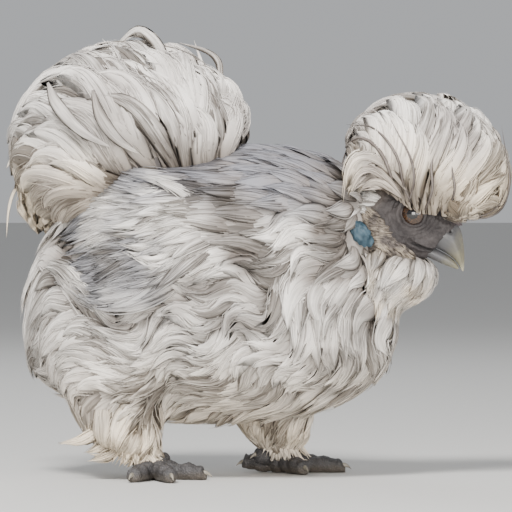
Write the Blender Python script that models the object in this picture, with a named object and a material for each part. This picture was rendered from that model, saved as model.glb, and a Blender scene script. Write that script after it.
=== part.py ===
"""Silkie chicken, life size, a still figure in mid step with its head low.

Forward is +X, the bird's left is +Y and up is +Z. The floor is at Z = 0, under the middle of the bird.
Sizes are in millimetres and become metres where a mesh is made.
"""

import math
import random

import bmesh
import bpy
import numpy as np
from mathutils import Matrix, Vector
from mathutils.bvhtree import BVHTree

MM = 0.001
GAP = 0.3
ROOT_DEPTH = 5.0
# The seed of each coat's small variations
SEEDS = {"crest": 4, "beard": 5, "neck": 12, "legs": 13, "wings": 8, "tail": 11, "torso": 10, "comb": 1}

# Sections of a lock and of a plume, for a unit of half width: how far the edges drop and the ridge
# rises, and how far along it is widest; last, the half thickness of its middle in millimetres
LOCK_SHAPE = (0.36, 0.10, 0.55, 0.9)
VANE_SHAPE = (0.26, 0.0, 0.68, 1.1)
LOCK_SPLITS = (True, False, True)
SHEET_SPLITS = (True, False, True, False)
# The same, where a grown section has two points at each edge
GROWN_LOCK_SPLITS = (True, False, False, True, False)
GROWN_SHEET_SPLITS = (True, False, False, True, False, False)
UP = np.array((0.0, 0.0, 1.0))
LEFT = np.array((0.0, 1.0, 0.0))
FORWARD = np.array((1.0, 0.0, 0.0))

# Torso, measured out to the tips of the coat
TORSO_MIDDLE = -31.0
TORSO_HALF_LENGTH = 134.0
TORSO_HALF_HEIGHT = 95.0
TORSO_HALF_WIDTH = 89.0
TORSO_CENTRE_HEIGHT = 134.0
COAT_ON_TORSO = 15.0
TORSO_ROWS = 6

# Neck and its cape, measured out to the tips: x, centre height, half width, half height
NECK_STATIONS = (
    (-32.0, 186.0, 52.0, 45.0),
    (6.0, 177.0, 66.0, 56.0),
    (42.0, 165.0, 62.0, 63.0),
    (66.0, 171.0, 44.0, 53.0),
    (84.0, 179.0, 27.0, 34.0),
)
COAT_ON_NECK = 14.0
NECK_ROWS = (
    # where along the neck a row is rooted, locks in the row, their length and half width
    (76.0, 7, 36.0, 12.0),
    (56.0, 9, 50.0, 17.0),
    (32.0, 9, 58.0, 21.0),
    (8.0, 9, 54.0, 20.0),
)

# Head, in its own axes: along the bill, across, and up through the crown
HEAD_CENTRE = (108.6, 0.0, 184.4)
HEAD_PITCH = math.radians(-42.0)
EYE_RADIUS = 9.2
EYE_DEPTH_RADIUS = 5.2
EYE_OUT = 16.4
EYE_FORWARD = -0.8
EYE_UP = 4.1
LID_RADIUS = 9.0
LID_THICKNESS = 1.25

# Crest and tail: each a fountain of feathers that fills a ball. reach is ahead, across, above, below
CREST = {"centre": (122.0, 0.0, 220.0), "reach": (62.0, 51.0, 53.0, 32.0), "pitch": math.radians(-23.0)}
CREST_ROOT = (117.0, 0.0, 196.0)
CREST_DROOP = 5.0
TAIL = {"centre": (-93.0, 0.0, 237.0), "reach": (87.0, 62.0, 72.0, 72.0), "pitch": 0.0}
TAIL_ROOT = (-58.0, 0.0, 203.0)
TAIL_DROOP = 26.0
FOUNTAIN_CORE = 0.5
FOUNTAIN_STEPS = 4
CREST_TIERS = (
    # count, first and last angle from the root, reach, half width
    (6, 20.0, 76.0, 0.98, 20.0),
    (7, 34.0, 104.0, 1.02, 20.0),
    (6, 56.0, 132.0, 1.05, 21.0),
    (4, 76.0, 152.0, 1.05, 21.0),
    (3, 108.0, 190.0, 1.05, 20.0),
)
TAIL_TIERS = (
    (6, 18.0, 78.0, 1.02, 27.0),
    (8, 34.0, 102.0, 1.05, 27.0),
    (7, 56.0, 130.0, 1.07, 29.0),
    (4, 80.0, 154.0, 1.08, 29.0),
    (3, 108.0, 186.0, 1.08, 28.0),
)

# Beard under the bill
BEARD_CENTRE = (104.0, 0.0, 146.5)
BEARD_RADII = (27.5, 30.0, 26.5)
COAT_ON_BEARD = 9.0

# Folded wings: an egg laid on each flank, given as it looks from the side
WING_CENTRE = (-76.0, 168.0)
WING_TILT = math.radians(13.0)
WING_HALF_LENGTH = 60.0
WING_DEPTHS = (50.0, 26.0)
WING_HALF_THICKNESS = 9.0
WING_CORE = 0.74
WING_TIERS = (
    # where the vanes begin and end along the wing, how many, how high their tips lie, half width
    (0.70, -0.28, 3, 10.0, 13.5),
    (0.30, -0.68, 4, 8.5, 14.5),
    (-0.10, -1.05, 4, 6.0, 17.0),
)

# Legs and feet: where each foot's toes spring from, and which way its middle toe points
COAT_ON_LEG = 8.0
LEG_ROWS = (
    # station of the leg, locks in the row, their length and half width
    (0, 4, 44.0, 21.0),
    (1, 5, 38.0, 19.0),
    (2, 4, 28.0, 16.0),
)
LEGS = {
    "right": (
        (-104.0, -36.0, 96.0, 32.0),
        (-99.0, -41.0, 60.0, 32.0),
        (-93.0, -43.0, 40.0, 28.0),
        (-86.0, -45.0, 26.0, 24.0),
        (-72.0, -45.0, 14.0, 9.5),
    ),
    "left": (
        (0.0, 36.0, 90.0, 32.0),
        (2.0, 39.0, 52.0, 32.0),
        (7.0, 41.0, 34.0, 27.0),
        (11.0, 42.0, 24.0, 22.0),
        (13.0, 42.0, 14.0, 9.5),
    ),
}
FEET = {
    "right": {"hub": (-66.0, -45.0), "heading": math.radians(-66.0)},
    "left": {"hub": (12.0, 42.0), "heading": math.radians(4.0)},
}
TOE_RADIUS = 6.7
HUB_HEIGHT = 9.0
SOLE_CUT = 1.0
SOLE_PAD = (10.0, 9.0)
TOE_SWELLS = (1.1, 0.92, 1.1, 0.94, 0.84)
TOES = {
    # name: turn from the middle toe towards the bird's midline, length, tip height
    "inner": (math.radians(58.0), 38.0, 4.6),
    "middle": (0.0, 47.0, 4.8),
    "outer": (math.radians(-38.0), 41.0, 4.6),
    "hind": (math.radians(184.0), 28.0, 4.4),
    "fifth": (math.radians(146.0), 24.0, 18.0),
}
CLAW_LENGTH = 8.0
CLAW_RADIUS = 2.3

SMOOTH_BELOW = math.radians(32.0)

COLOURS = {
    "plumage": (0.80, 0.78, 0.75, 1.0),
    "leg_plumage": (0.76, 0.70, 0.60, 1.0),
    "face_skin": (0.20, 0.18, 0.21, 1.0),
    "bill_horn": (0.50, 0.50, 0.40, 1.0),
    "eye": (0.10, 0.05, 0.03, 1.0),
    "earlobe": (0.12, 0.42, 0.55, 1.0),
    "comb": (0.16, 0.10, 0.13, 1.0),
    "foot_skin": (0.16, 0.17, 0.20, 1.0),
    "claw": (0.42, 0.40, 0.36, 1.0),
}
ROUGHNESS = {"eye": 0.08, "bill_horn": 0.4, "claw": 0.4, "face_skin": 0.6, "foot_skin": 0.6}


def unit(vector):
    return vector / max(np.linalg.norm(vector), 1e-9)


def turned(angle):
    """The level direction at this angle from forward, towards the bird's left."""
    return np.array((math.cos(angle), math.sin(angle), 0.0))


# Meshes: each piece is a pair, points in millimetres and faces


def skinned(rings, start=None, end=None, splits=None):
    """A closed body through rings of points. start and end are pole points, or None for a flat cap.

    splits says which way each side's faces are cut into triangles.
    """
    rings = np.asarray(rings, float)
    count, sides = rings.shape[:2]
    points = list(rings.reshape(-1, 3))
    faces = []
    for k in range(count - 1):
        for j in range(sides):
            a, b = k * sides + j, k * sides + (j + 1) % sides
            if splits[j] if splits else j % 2 == 0:
                faces += [(a, b, b + sides), (a, b + sides, a + sides)]
            else:
                faces += [(a, b, a + sides), (b, b + sides, a + sides)]
    last = (count - 1) * sides
    if start is None:
        faces.append(tuple(reversed(range(sides))))
    else:
        points.append(np.asarray(start, float))
        faces += [(len(points) - 1, (j + 1) % sides, j) for j in range(sides)]
    if end is None:
        faces.append(tuple(range(last, last + sides)))
    else:
        points.append(np.asarray(end, float))
        faces += [(len(points) - 1, last + j, last + (j + 1) % sides) for j in range(sides)]
    return np.array(points), faces


def oval(centre, across, up, half_width, half_height, sides):
    """A ring of points round centre, running from across towards up."""
    angles = np.arange(sides) * 2 * math.pi / sides
    wide = np.cos(angles)[:, None] * unit(across) * half_width
    tall = np.sin(angles)[:, None] * unit(up) * half_height
    return np.asarray(centre) + wide + tall


def tube(stations, sides, across=LEFT, grow=0.0, round_ends=True):
    """A body along stations of (centre, half width, half height), with its ends drawn in."""
    centres = [np.array(s[0], float) for s in stations]
    rings = []
    for k, (_, half_width, half_height) in enumerate(stations):
        along = unit(centres[min(k + 1, len(centres) - 1)] - centres[max(k - 1, 0)])
        flat = unit(across - along * np.dot(across, along))
        rise = np.cross(along, flat)
        rings.append(oval(centres[k], flat, rise, half_width + grow, half_height + grow, sides))
    first = unit(centres[0] - centres[1])
    final = unit(centres[-1] - centres[-2])
    bulge = 0.45 if round_ends else 0.0
    start = centres[0] + first * (bulge * stations[0][2] + grow)
    end = centres[-1] + final * (bulge * stations[-1][2] + grow)
    if not round_ends:
        rings[0] = rings[0] + first * grow
        rings[-1] = rings[-1] + final * grow
        return skinned(rings)
    return skinned(rings, start, end)


def ball(rows, sides):
    """A ball of radius one from a sphere primitive, its poles on its third axis."""
    shape = bmesh.new()
    bmesh.ops.create_uvsphere(shape, u_segments=sides, v_segments=rows, radius=1.0)
    points = np.array([v.co for v in shape.verts])
    faces = []
    for face in shape.faces:
        corners = [v.index for v in face.verts]
        faces += [(corners[0], corners[k], corners[k + 1]) for k in range(1, len(corners) - 1)]
    shape.free()
    return points, faces


def ellipsoid(centre, radii, grow=0.0, rows=8, sides=12, axes=(FORWARD, LEFT, UP)):
    """A ball stretched by its three radii along its axes; its poles lie on the third axis."""
    points, faces = ball(rows, sides)
    return np.array(centre) + (points * (np.array(radii) + grow)) @ np.array(axes), faces


def box(centre, size):
    """A box from a cube primitive."""
    shape = bmesh.new()
    bmesh.ops.create_cube(shape, size=1.0)
    points = np.array([v.co for v in shape.verts])
    faces = [tuple(v.index for v in face.verts) for face in shape.faces]
    shape.free()
    return np.array(centre) + points * np.array(size), faces


def lock(path, outward, half_width, grow=0.0):
    """A tapered lock of feather along path: a ridge above, a flat underside. Grown, it ends blunt."""
    return strip(path, outward, half_width, grow, LOCK_SHAPE, 0.55, False)


def vane(path, outward, half_width, grow=0.0):
    """A broad plume along path: a thin sheet, arched across, thickest along its middle."""
    return strip(path, outward, half_width, grow, VANE_SHAPE, 0.42, True)


def strip(path, outward, half_width, grow, shape, root_share, sheet):
    """A body along path whose section has two edges, a top and, for a sheet, an underside.

    shape gives how far the edges drop and the ridge rises for a unit of half width, how far along
    it is widest, and the half thickness of its middle in millimetres.
    """
    path = np.asarray(path, float)
    drop, ridge, widest, half = shape
    count = len(path)
    rings = []
    for k in range(count - 1):
        t = k / (count - 1)
        along = unit(path[k + 1] - path[max(k - 1, 0)])
        side = unit(np.cross(along, outward[k]))
        normal = np.cross(side, along)
        if t < widest:
            wide = half_width * (root_share + (1.0 - root_share) * math.sin(math.pi / 2 * t / widest))
        else:
            wide = half_width * ((1.0 - t) / (1.0 - widest)) ** 0.6
        rings.append(section(path[k], side, normal, (wide, drop * wide, ridge * wide + half, half), grow, sheet))
    if not grow:
        return skinned(rings, None, path[-1], SHEET_SPLITS if sheet else LOCK_SPLITS)
    rings[0] = np.array(rings[0]) - unit(path[1] - path[0]) * grow
    blunt = path[-1] + unit(path[-1] - path[-2]) * 2.0 * grow
    rings.append(section(blunt, side, normal, (0.8, 0.0, 0.3, 0.3), grow, sheet))
    return skinned(rings, None, None, GROWN_SHEET_SPLITS if sheet else GROWN_LOCK_SPLITS)


def section(centre, side, normal, size, grow, sheet):
    """One ring of a strip. Grown, its sharp edges turn blunt, so that it holds the first one."""
    wide, drop, rise, depth = size
    left = centre - side * (wide + 1.5 * grow) - normal * drop
    right = centre + side * (wide + 1.5 * grow) - normal * drop
    top = centre + normal * (rise + 1.5 * grow)
    under = [centre - normal * (depth + 1.5 * grow)] if sheet else []
    if not grow:
        return [left, *under, right, top]
    lift = normal * 1.3 * grow
    return [left - lift, *under, right - lift, right + lift, top, left + lift]


# Directions and paths over a surface


class Surface:
    """The surface of a fine copy of a core, on which locks are laid."""

    def __init__(self, piece):
        points, faces = piece
        volume = sum(np.dot(points[f[0]], np.cross(points[f[1]], points[f[2]])) for f in faces)
        if volume < 0:
            faces = [tuple(reversed(f)) for f in faces]
        self.tree = BVHTree.FromPolygons([Vector(p) for p in points], faces)

    def nearest(self, point):
        location, normal, _, _ = self.tree.find_nearest(Vector(point))
        return np.array(location), np.array(normal)

    def combed(self, root, lie, length, rise, sway=0.0, steps=3):
        """A path that walks from root over the surface along the lie, from under it up to rise."""
        location, normal = self.nearest(root)
        path, outward = [], []
        for k in range(steps + 1):
            t = k / steps
            path.append(location + normal * (-ROOT_DEPTH + (rise + ROOT_DEPTH) * min(1.0, 1.5 * t) ** 0.8))
            outward.append(normal)
            flow = lie(location, normal)
            flow = unit(flow - normal * np.dot(flow, normal))
            aside = np.cross(flow, normal) * sway * math.cos(2.4 * t * math.pi)
            location, normal = self.nearest(location + (flow + aside) * length / steps)
        return path, outward


# The cores of the nodes. inset is how far a core lies inside the tips of its coat


def torso_section(x, inset):
    """The torso's half width, half height and centre height at x."""
    u = min(max((x - TORSO_MIDDLE) / (TORSO_HALF_LENGTH - inset), -1.0), 1.0)
    tall = (1.0 - abs(u) ** 2.45) ** (1.0 / 2.45)
    power = 2.3 if u < 0 else 1.75
    wide = (1.0 - abs(u) ** power) ** (1.0 / power)
    middle = TORSO_CENTRE_HEIGHT - 50.0 * min(0.0, u + 0.3) ** 2 - 60.0 * max(0.0, u - 0.6) ** 2
    return (TORSO_HALF_WIDTH - inset) * wide, (TORSO_HALF_HEIGHT + 3.0 * u - inset) * tall, middle


def torso_point(x, angle, inset):
    """A point of the torso at x; the angle runs round it from its left side over its back."""
    half_width, half_height, middle = torso_section(x, inset)
    return np.array((x, half_width * math.cos(angle), middle + half_height * math.sin(angle)))


def torso_holds(place, margin):
    """True where the place lies this far or further inside the tips of the torso's coat."""
    half_width, half_height, middle = torso_section(place[0], margin)
    inside = abs(place[0] - TORSO_MIDDLE) < TORSO_HALF_LENGTH - margin
    return inside and math.hypot(place[1] / half_width, (place[2] - middle) / half_height) < 1.0


def torso_core(inset, rows, sides):
    reach = TORSO_HALF_LENGTH - inset
    rings = []
    for k in range(1, rows):
        x = TORSO_MIDDLE - reach * math.cos(math.pi * k / rows)
        rings.append([torso_point(x, 2 * math.pi * j / sides, inset) for j in range(sides)])
    rear = torso_point(TORSO_MIDDLE - reach, 0.0, inset)
    front = torso_point(TORSO_MIDDLE + reach, 0.0, inset)
    return skinned(rings, rear, front)


def neck_station(x):
    """Centre height, half width and half height of the neck at x."""
    xs, *rest = zip(*NECK_STATIONS)
    return [float(np.interp(x, xs, column)) for column in rest]


def neck_core(inset, grow=0.0, rows=4, sides=14):
    stations = []
    first, last = NECK_STATIONS[0][0], NECK_STATIONS[-1][0]
    for k in range(rows + 1):
        x = first + (last - first) * k / rows
        middle, wide, high = neck_station(x)
        less = inset * (1.0 - 0.4 * k / rows)
        stations.append(((x, 0.0, middle), wide - less, high - less))
    return tube(stations, sides, grow=grow)


def head_axes():
    along = np.array((math.cos(HEAD_PITCH), 0.0, math.sin(HEAD_PITCH)))
    return along, np.cross(along, LEFT)


def head_place(forward, across, up):
    """A point given in the head's own axes."""
    along, crown = head_axes()
    return np.array(HEAD_CENTRE) + along * forward + LEFT * across + crown * up


def head_loft(stations, sides, grow=0.0):
    """A body along the bill's axis through (forward, top, bottom, half width) in the head's axes."""
    crown = head_axes()[1]
    rings = []
    for forward, top, bottom, half_width in stations:
        centre = head_place(forward, 0.0, (top + bottom) / 2)
        tall = (top - bottom) / 2
        rings.append(oval(centre, LEFT, crown, half_width + grow, tall + grow, sides))
    along = head_axes()[0]
    rings[0] = rings[0] - along * grow
    rings[-1] = rings[-1] + along * grow
    return skinned(rings)


HEAD_STATIONS = (
    (-36.0, -3.0, -14.0, 6.0),
    (-32.0, 6.0, -22.0, 13.5),
    (-22.0, 16.0, -30.0, 19.5),
    (-10.0, 22.5, -34.0, 21.5),
    (2.0, 24.5, -32.0, 20.5),
    (12.0, 24.0, -24.0, 17.5),
    (20.0, 22.5, -16.0, 13.5),
    (26.0, 21.0, -12.0, 11.0),
    (29.0, 19.0, -9.5, 9.4),
)
UPPER_BILL_STATIONS = (
    (23.0, 18.5, -4.2, 8.6),
    (29.5, 20.4, -2.2, 8.8),
    (35.0, 18.6, -0.6, 7.9),
    (41.0, 14.0, 0.4, 6.3),
    (46.5, 9.0, 0.3, 4.7),
    (50.5, 4.6, -0.6, 3.0),
    (53.6, 0.8, -1.6, 1.3),
    (54.9, -0.9, -1.7, 0.5),
)
LOWER_BILL_STATIONS = (
    (18.0, -6.2, -13.0, 8.0),
    (26.0, -3.7, -11.8, 8.0),
    (34.0, -1.4, -9.6, 6.9),
    (41.0, -0.1, -7.4, 5.3),
    (47.0, -0.3, -5.0, 3.2),
    (51.0, -1.6, -3.2, 1.2),
)


def leg_core(side, inset, grow=0.0):
    stations = []
    for x, y, z, radius in LEGS[side]:
        share = min(max((radius - 9.5) / 16.0, 0.0), 1.0)
        stations.append(((x, y, z), radius - inset * share, radius - inset * share))
    return tube(stations, 10, grow=grow)


def wing_place(side, along, over, lift):
    """A place on the flank. along runs from -1 at the wing's rear to 1 at the shoulder, over from
    -1 at its lower edge to 1 at its upper one, and lift is how far it stands out."""
    sign = 1.0 if side == "left" else -1.0
    rear, front = WING_DEPTHS
    deep = over * (rear + (front - rear) * (along + 1.0) / 2)
    x = WING_CENTRE[0] + WING_HALF_LENGTH * along * math.cos(WING_TILT) - deep * math.sin(WING_TILT)
    z = WING_CENTRE[1] + WING_HALF_LENGTH * along * math.sin(WING_TILT) + deep * math.cos(WING_TILT)
    half_width, half_height, middle = torso_section(x, 7.0)
    angle = math.asin(min(max((z - middle) / half_height, -0.97), 0.97))
    out = unit(np.array((-0.12 * along, math.cos(angle), math.sin(angle))))
    place = np.array((x, half_width * math.cos(angle), z)) + out * lift
    return place * np.array((1.0, sign, 1.0))


def wing_core(side, grow=0.0):
    """A pillow that lies half sunk in the flank."""
    points, faces = ball(6, 14)
    wider, thick = WING_CORE + grow / 45.0, WING_HALF_THICKNESS + grow
    return np.array([wing_place(side, x * wider, y * wider, z * thick) for x, y, z in points]), faces


class Globe:
    """A ball with its own reach ahead, across, above and below, pitched about its centre."""

    def __init__(self, centre, reach, pitch):
        self.centre = np.array(centre)
        self.reach = reach
        self.axes = np.array(
            ((math.cos(pitch), 0.0, math.sin(pitch)), (0.0, 1.0, 0.0), (-math.sin(pitch), 0.0, math.cos(pitch)))
        )

    def radii(self, way):
        ahead, across, above, below = self.reach
        return np.array((ahead, across, above if way[2] > 0 else below))

    def place(self, way, size=1.0, grow=0.0):
        """The point that lies this way, in the ball's own axes, at this share of its reach."""
        return self.centre + (way * (self.radii(way) * size + grow)) @ self.axes

    def way_to(self, point):
        inner = self.axes @ (np.array(point) - self.centre)
        return unit(inner / self.radii(inner))

    def piece(self, size, grow, rows, sides):
        ways, faces = ball(rows, sides)
        return np.array([self.place(way, size, grow) for way in ways]), faces


# Coats of locks: each returns a list of (path, outward, half width)


def torso_lie(place, normal):
    """Backwards along the back, turning down over the breast, the flanks and the rear."""
    front = min(max((place[0] - 5.0) / 75.0, 0.0), 1.0)
    low = min(max((140.0 - place[2]) / 110.0, 0.0), 1.0)
    fall = math.radians(12.0 + 62.0 * front + 26.0 * low)
    fall *= 1.0 - 0.85 * max(0.0, normal[2])
    spread = LEFT * 0.12 * np.sign(place[1])
    return -FORWARD * math.cos(fall) - UP * math.sin(fall) + spread


def torso_locks(draw):
    skin = Surface(torso_core(COAT_ON_TORSO, 28, 40))
    locks = []
    for row in range(TORSO_ROWS):
        x = 84.0 - 208.0 * row / (TORSO_ROWS - 1)
        around = 10 if -112.0 < x < 62.0 else 8
        for j in range(around):
            angle = 2 * math.pi * (j + 0.5 * (row % 2) + draw.uniform(-0.14, 0.14)) / around
            root = torso_point(x + draw.uniform(-3.0, 3.0), angle, COAT_ON_TORSO)
            length = draw.uniform(64.0, 74.0)
            rise = COAT_ON_TORSO * draw.uniform(0.85, 1.08) * (0.6 if root[2] < 60.0 else 1.0)
            sway = draw.uniform(-0.3, 0.3)
            width = draw.uniform(25.0, 28.0)
            if not torso_root_hidden(root):
                path, outward = skin.combed(root, torso_lie, length, rise, sway)
                locks.append((path, outward, width))
    return locks


def torso_root_hidden(root):
    """True where a lock's root would lie under a wing, the cape, the tail or a thigh."""
    x, y, z = root
    along = (x - WING_CENTRE[0]) / WING_HALF_LENGTH
    over = (z - WING_CENTRE[1]) / WING_DEPTHS[0]
    if along * along + over * over < 0.6 and abs(y) > 30.0:
        return True
    if x > NECK_STATIONS[0][0]:
        middle, wide, high = neck_station(x)
        if math.hypot(y / wide, (z - middle) / high) < 0.8:
            return True
    if math.hypot(x - TAIL_ROOT[0], y) < 26.0 and z > 150.0:
        return True
    for side in LEGS:
        thigh = LEGS[side][1]
        if math.hypot(x - thigh[0], y - thigh[1]) < 26.0 and z < 80.0:
            return True
    return False


def neck_locks(draw):
    """The cape: locks that fan back from behind the head and fall over the shoulders and breast."""
    skin = Surface(neck_core(COAT_ON_NECK, rows=12, sides=32))
    axis = unit(np.array((96.0, 0.0, 34.0)))

    def lie(place, normal):
        return -axis - UP * (0.5 * abs(normal[1]) + 0.9 * max(0.0, -normal[2]))

    locks = []
    for row, (x, around, length, width) in enumerate(NECK_ROWS):
        middle, wide, high = neck_station(x)
        for j in range(around):
            angle = 2 * math.pi * (j + 0.5 * (row % 2) + draw.uniform(-0.12, 0.12)) / around
            root = np.array((x, wide * math.cos(angle), middle + high * math.sin(angle)))
            far, rise = length * draw.uniform(0.92, 1.08), draw.uniform(0.85, 1.1) * COAT_ON_NECK
            path, outward = skin.combed(root, lie, far, rise, draw.uniform(-0.3, 0.3))
            if not torso_holds(path[-1], 12.0):
                locks.append((path, outward, width * draw.uniform(0.92, 1.08)))
    return locks


def beard_locks(draw):
    inner = [r - COAT_ON_BEARD for r in BEARD_RADII]
    skin = Surface(ellipsoid(BEARD_CENTRE, inner, rows=16, sides=24))

    def lie(place, normal):
        return -UP - FORWARD * 0.25

    locks = []
    for row, (lift, around) in enumerate(((15.0, 4), (1.0, 5))):
        for j in range(around):
            angle = math.pi * ((j + 0.5) / around - 0.5) * 1.35
            root = np.array(BEARD_CENTRE) + np.array((math.cos(angle) * 22, math.sin(angle) * 24, lift))
            length, rise = draw.uniform(28.0, 32.0), COAT_ON_BEARD * draw.uniform(0.8, 1.0)
            path, outward = skin.combed(root, lie, length, rise, draw.uniform(-0.3, 0.3), 2)
            locks.append((path, outward, draw.uniform(12.5, 14.0)))
    return locks


def fountain_locks(draw, ball, root, tiers, droop):
    """Feathers that rise from root and spread over a ball. Each tier is its count, the first and
    last angle from the root, how far its tips reach and its half width."""
    pole = ball.way_to(root)
    first = unit(np.cross(pole, LEFT))
    second = np.cross(pole, first)
    locks = []
    for tier, (count, low, high, reach, half_width) in enumerate(tiers):
        steps = FOUNTAIN_STEPS if high - low > 62.0 else FOUNTAIN_STEPS - 1
        for j in range(count):
            turn = 2 * math.pi * (j + 0.5 * (tier % 2) + draw.uniform(-0.13, 0.13)) / count
            swing = draw.uniform(-0.18, 0.18)
            far = reach * draw.uniform(0.94, 1.0)
            begin, stop = math.radians(low), math.radians(high + draw.uniform(-7.0, 7.0))
            width = half_width * draw.uniform(0.9, 1.1)
            path, outward = [], []
            for k in range(steps + 1):
                t = k / steps
                polar = begin + (stop - begin) * t
                spin = turn + swing * t * t
                aside = first * math.cos(spin) + second * math.sin(spin)
                way = pole * math.cos(polar) + aside * math.sin(polar)
                size = 0.38 + (far - 0.38) * math.sin(math.pi / 2 * t**0.8)
                path.append(ball.place(way, size) - UP * droop * t**3 * max(0.0, -way[0]))
                outward.append(unit((way / ball.radii(way)) @ ball.axes))
            if not torso_holds(path[-1], 4.0):
                locks.append((path, outward, width))
    return locks


def wing_locks(draw, side):
    """Tiers of vanes that fan back from the shoulder, the longest at the wing's rear edge."""
    locks = []
    for start, stop, count, rise, half_width in WING_TIERS:
        for j in range(count):
            fan = (2.0 * j + 1.0) / count - 1.0 + draw.uniform(-0.05, 0.05)
            far = stop - draw.uniform(0.0, 0.08)
            path, outward = [], []
            for k in range(4):
                t = k / 3
                along = start + (far - start) * t
                spread = math.sqrt(max(1.0 - min(abs(along), 0.93) ** 2.6, 0.0))
                over = fan * spread * 0.86
                lift = -4.0 + (rise + 4.0) * t**0.6
                path.append(wing_place(side, along, over, lift))
                outward.append(unit(wing_place(side, along, over, 9.0) - wing_place(side, along, over, 0.0)))
            locks.append((path, outward, half_width * draw.uniform(0.95, 1.08)))
    return locks


def leg_locks(draw, side):
    """Thigh feathers that fall over the shank, and the hock's, which point back."""
    skin = Surface(leg_core(side, COAT_ON_LEG))

    def lie(place, normal):
        back = 2.4 if place[2] < 46.0 else 0.5
        return -UP - FORWARD * back * max(0.0, 0.25 - normal[0])

    locks = []
    for row, (station, around, length, width) in enumerate(LEG_ROWS):
        x, y, z, radius = LEGS[side][station]
        for j in range(around):
            angle = 2 * math.pi * (j + 0.5 * (row % 2) + draw.uniform(-0.12, 0.12)) / around
            root = np.array((x, y, z + (8.0 if row else -6.0))) + turned(angle) * radius
            rise, sway = draw.uniform(0.75, 1.0) * COAT_ON_LEG, draw.uniform(-0.25, 0.25)
            if z < 50.0:
                rise *= 1.0 + 1.5 * max(0.0, -math.cos(angle))
            path, outward = skin.combed(root, lie, length, rise, sway, 2)
            if min(p[2] for p in path) > 6.0:
                locks.append((path, outward, width * draw.uniform(0.95, 1.08)))
    return locks


def lock_pieces(locks, grow):
    return [lock(path, outward, half_width, grow) for path, outward, half_width in locks]


def vane_pieces(vanes, grow):
    return [vane(path, outward, half_width, grow) for path, outward, half_width in vanes]


# Feet: a shank and five toes, flat under their pads


def toe_direction(side, name):
    inward = -1.0 if side == "left" else 1.0
    turn = TOES[name][0]
    return turned(FEET[side]["heading"] + inward * turn)


def toe_piece(side, name, grow):
    """A toe of four pads. The resting toes dip a little under the floor, where they are cut flat."""
    turn, length, tip_height = TOES[name]
    x, y = FEET[side]["hub"]
    hub = np.array((x, y, HUB_HEIGHT))
    way = toe_direction(side, name)
    stations = []
    for k, swell in enumerate(TOE_SWELLS):
        t = k / (len(TOE_SWELLS) - 1)
        centre = hub + way * (length * t)
        tall = TOE_RADIUS * swell * 0.96
        if tip_height > 10.0:
            centre[2] = HUB_HEIGHT + (tip_height - HUB_HEIGHT) * t
        else:
            centre[2] = tall - SOLE_CUT + (HUB_HEIGHT - tall) * max(0.0, 1.0 - 2.6 * t)
        stations.append((centre, TOE_RADIUS * swell, tall))
    return tube(stations, 7, across=np.cross(UP, way), grow=grow)


def foot_pieces(side, grow):
    x, y = FEET[side]["hub"]
    hub = np.array((x, y, HUB_HEIGHT))
    above = np.array(LEGS[side][3][:3])
    shank = [(hub, 8.4, 8.4), (hub * 0.45 + above * 0.55, 7.2, 7.2), (above, 6.2, 6.2)]
    pad = ellipsoid((x, y, SOLE_PAD[1] - 1.6), (SOLE_PAD[0], SOLE_PAD[0], SOLE_PAD[1]), grow, 6, 10)
    pieces = [pad, tube(shank, 8, across=LEFT, grow=grow)]
    return pieces + [toe_piece(side, name, grow) for name in TOES]


def claw_piece(side, name, grow):
    turn, length, tip_height = TOES[name]
    x, y = FEET[side]["hub"]
    way = toe_direction(side, name)
    base = np.array((x, y, 0.0)) + way * (length - 0.5)
    base[2] = tip_height
    stations = []
    for t in (0.0, 1.0):
        centre = base + way * (CLAW_LENGTH * t) - UP * 2.2 * t * t
        radius = CLAW_RADIUS * (1.0 - 0.78 * t)
        stations.append((centre, radius * 0.9, radius))
    return tube(stations, 5, across=np.cross(UP, way), grow=grow)


# Head parts


def lid_ring(sign, grow=0.0, count=12):
    """An oval roll of skin round the eye."""
    along, crown = head_axes()
    rings = []
    for j in range(count):
        turn = 2 * math.pi * j / count
        out = along * math.cos(turn) + crown * math.sin(turn) * 0.94
        dip = 0.9 * abs(math.cos(turn))
        middle = head_place(EYE_FORWARD, sign * (EYE_OUT + 3.1 - dip), EYE_UP) + out * LID_RADIUS
        section = oval(middle, out, LEFT * sign, LID_THICKNESS + grow, LID_THICKNESS + 0.5 + grow, 6)
        rings.append(section)
    points = np.array(rings).reshape(-1, 3)
    faces = []
    for j in range(count):
        for i in range(6):
            a, b = j * 6 + i, j * 6 + (i + 1) % 6
            c, d = ((j + 1) % count) * 6 + i, ((j + 1) % count) * 6 + (i + 1) % 6
            faces.append((a, b, d, c) if sign > 0 else (a, c, d, b))
    return points, faces


def eye_piece(sign, grow=0.0):
    along, crown = head_axes()
    radii = (EYE_RADIUS, EYE_RADIUS, EYE_DEPTH_RADIUS)
    centre = head_place(EYE_FORWARD, sign * EYE_OUT, EYE_UP)
    return ellipsoid(centre, radii, grow, rows=8, sides=12, axes=(along, crown * sign, LEFT * sign))


def lobe_piece(sign, grow=0.0):
    """The turquoise earlobe: a small flat oval below and behind the ear."""
    centre = np.array((76.5, sign * 26.0, 171.5))
    slope = unit(np.array((0.62, 0.0, -0.78)))
    out = unit(np.array((0.25, sign, 0.0)))
    slope = unit(slope - out * np.dot(slope, out))
    return ellipsoid(centre, (11.5, 6.0, 3.4), grow, 6, 10, axes=(slope, np.cross(out, slope), out))


def brow_fold(sign, grow=0.0):
    """A low ridge of skin over the eye."""
    stations = [
        (head_place(-12.0, sign * 18.6, 13.5), 2.0, 2.4),
        (head_place(-2.0, sign * 18.2, 16.5), 2.6, 2.8),
        (head_place(10.0, sign * 14.8, 14.5), 2.2, 2.6),
        (head_place(19.0, sign * 10.6, 12.0), 1.6, 2.0),
    ]
    return tube(stations, 6, grow=grow)


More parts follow.
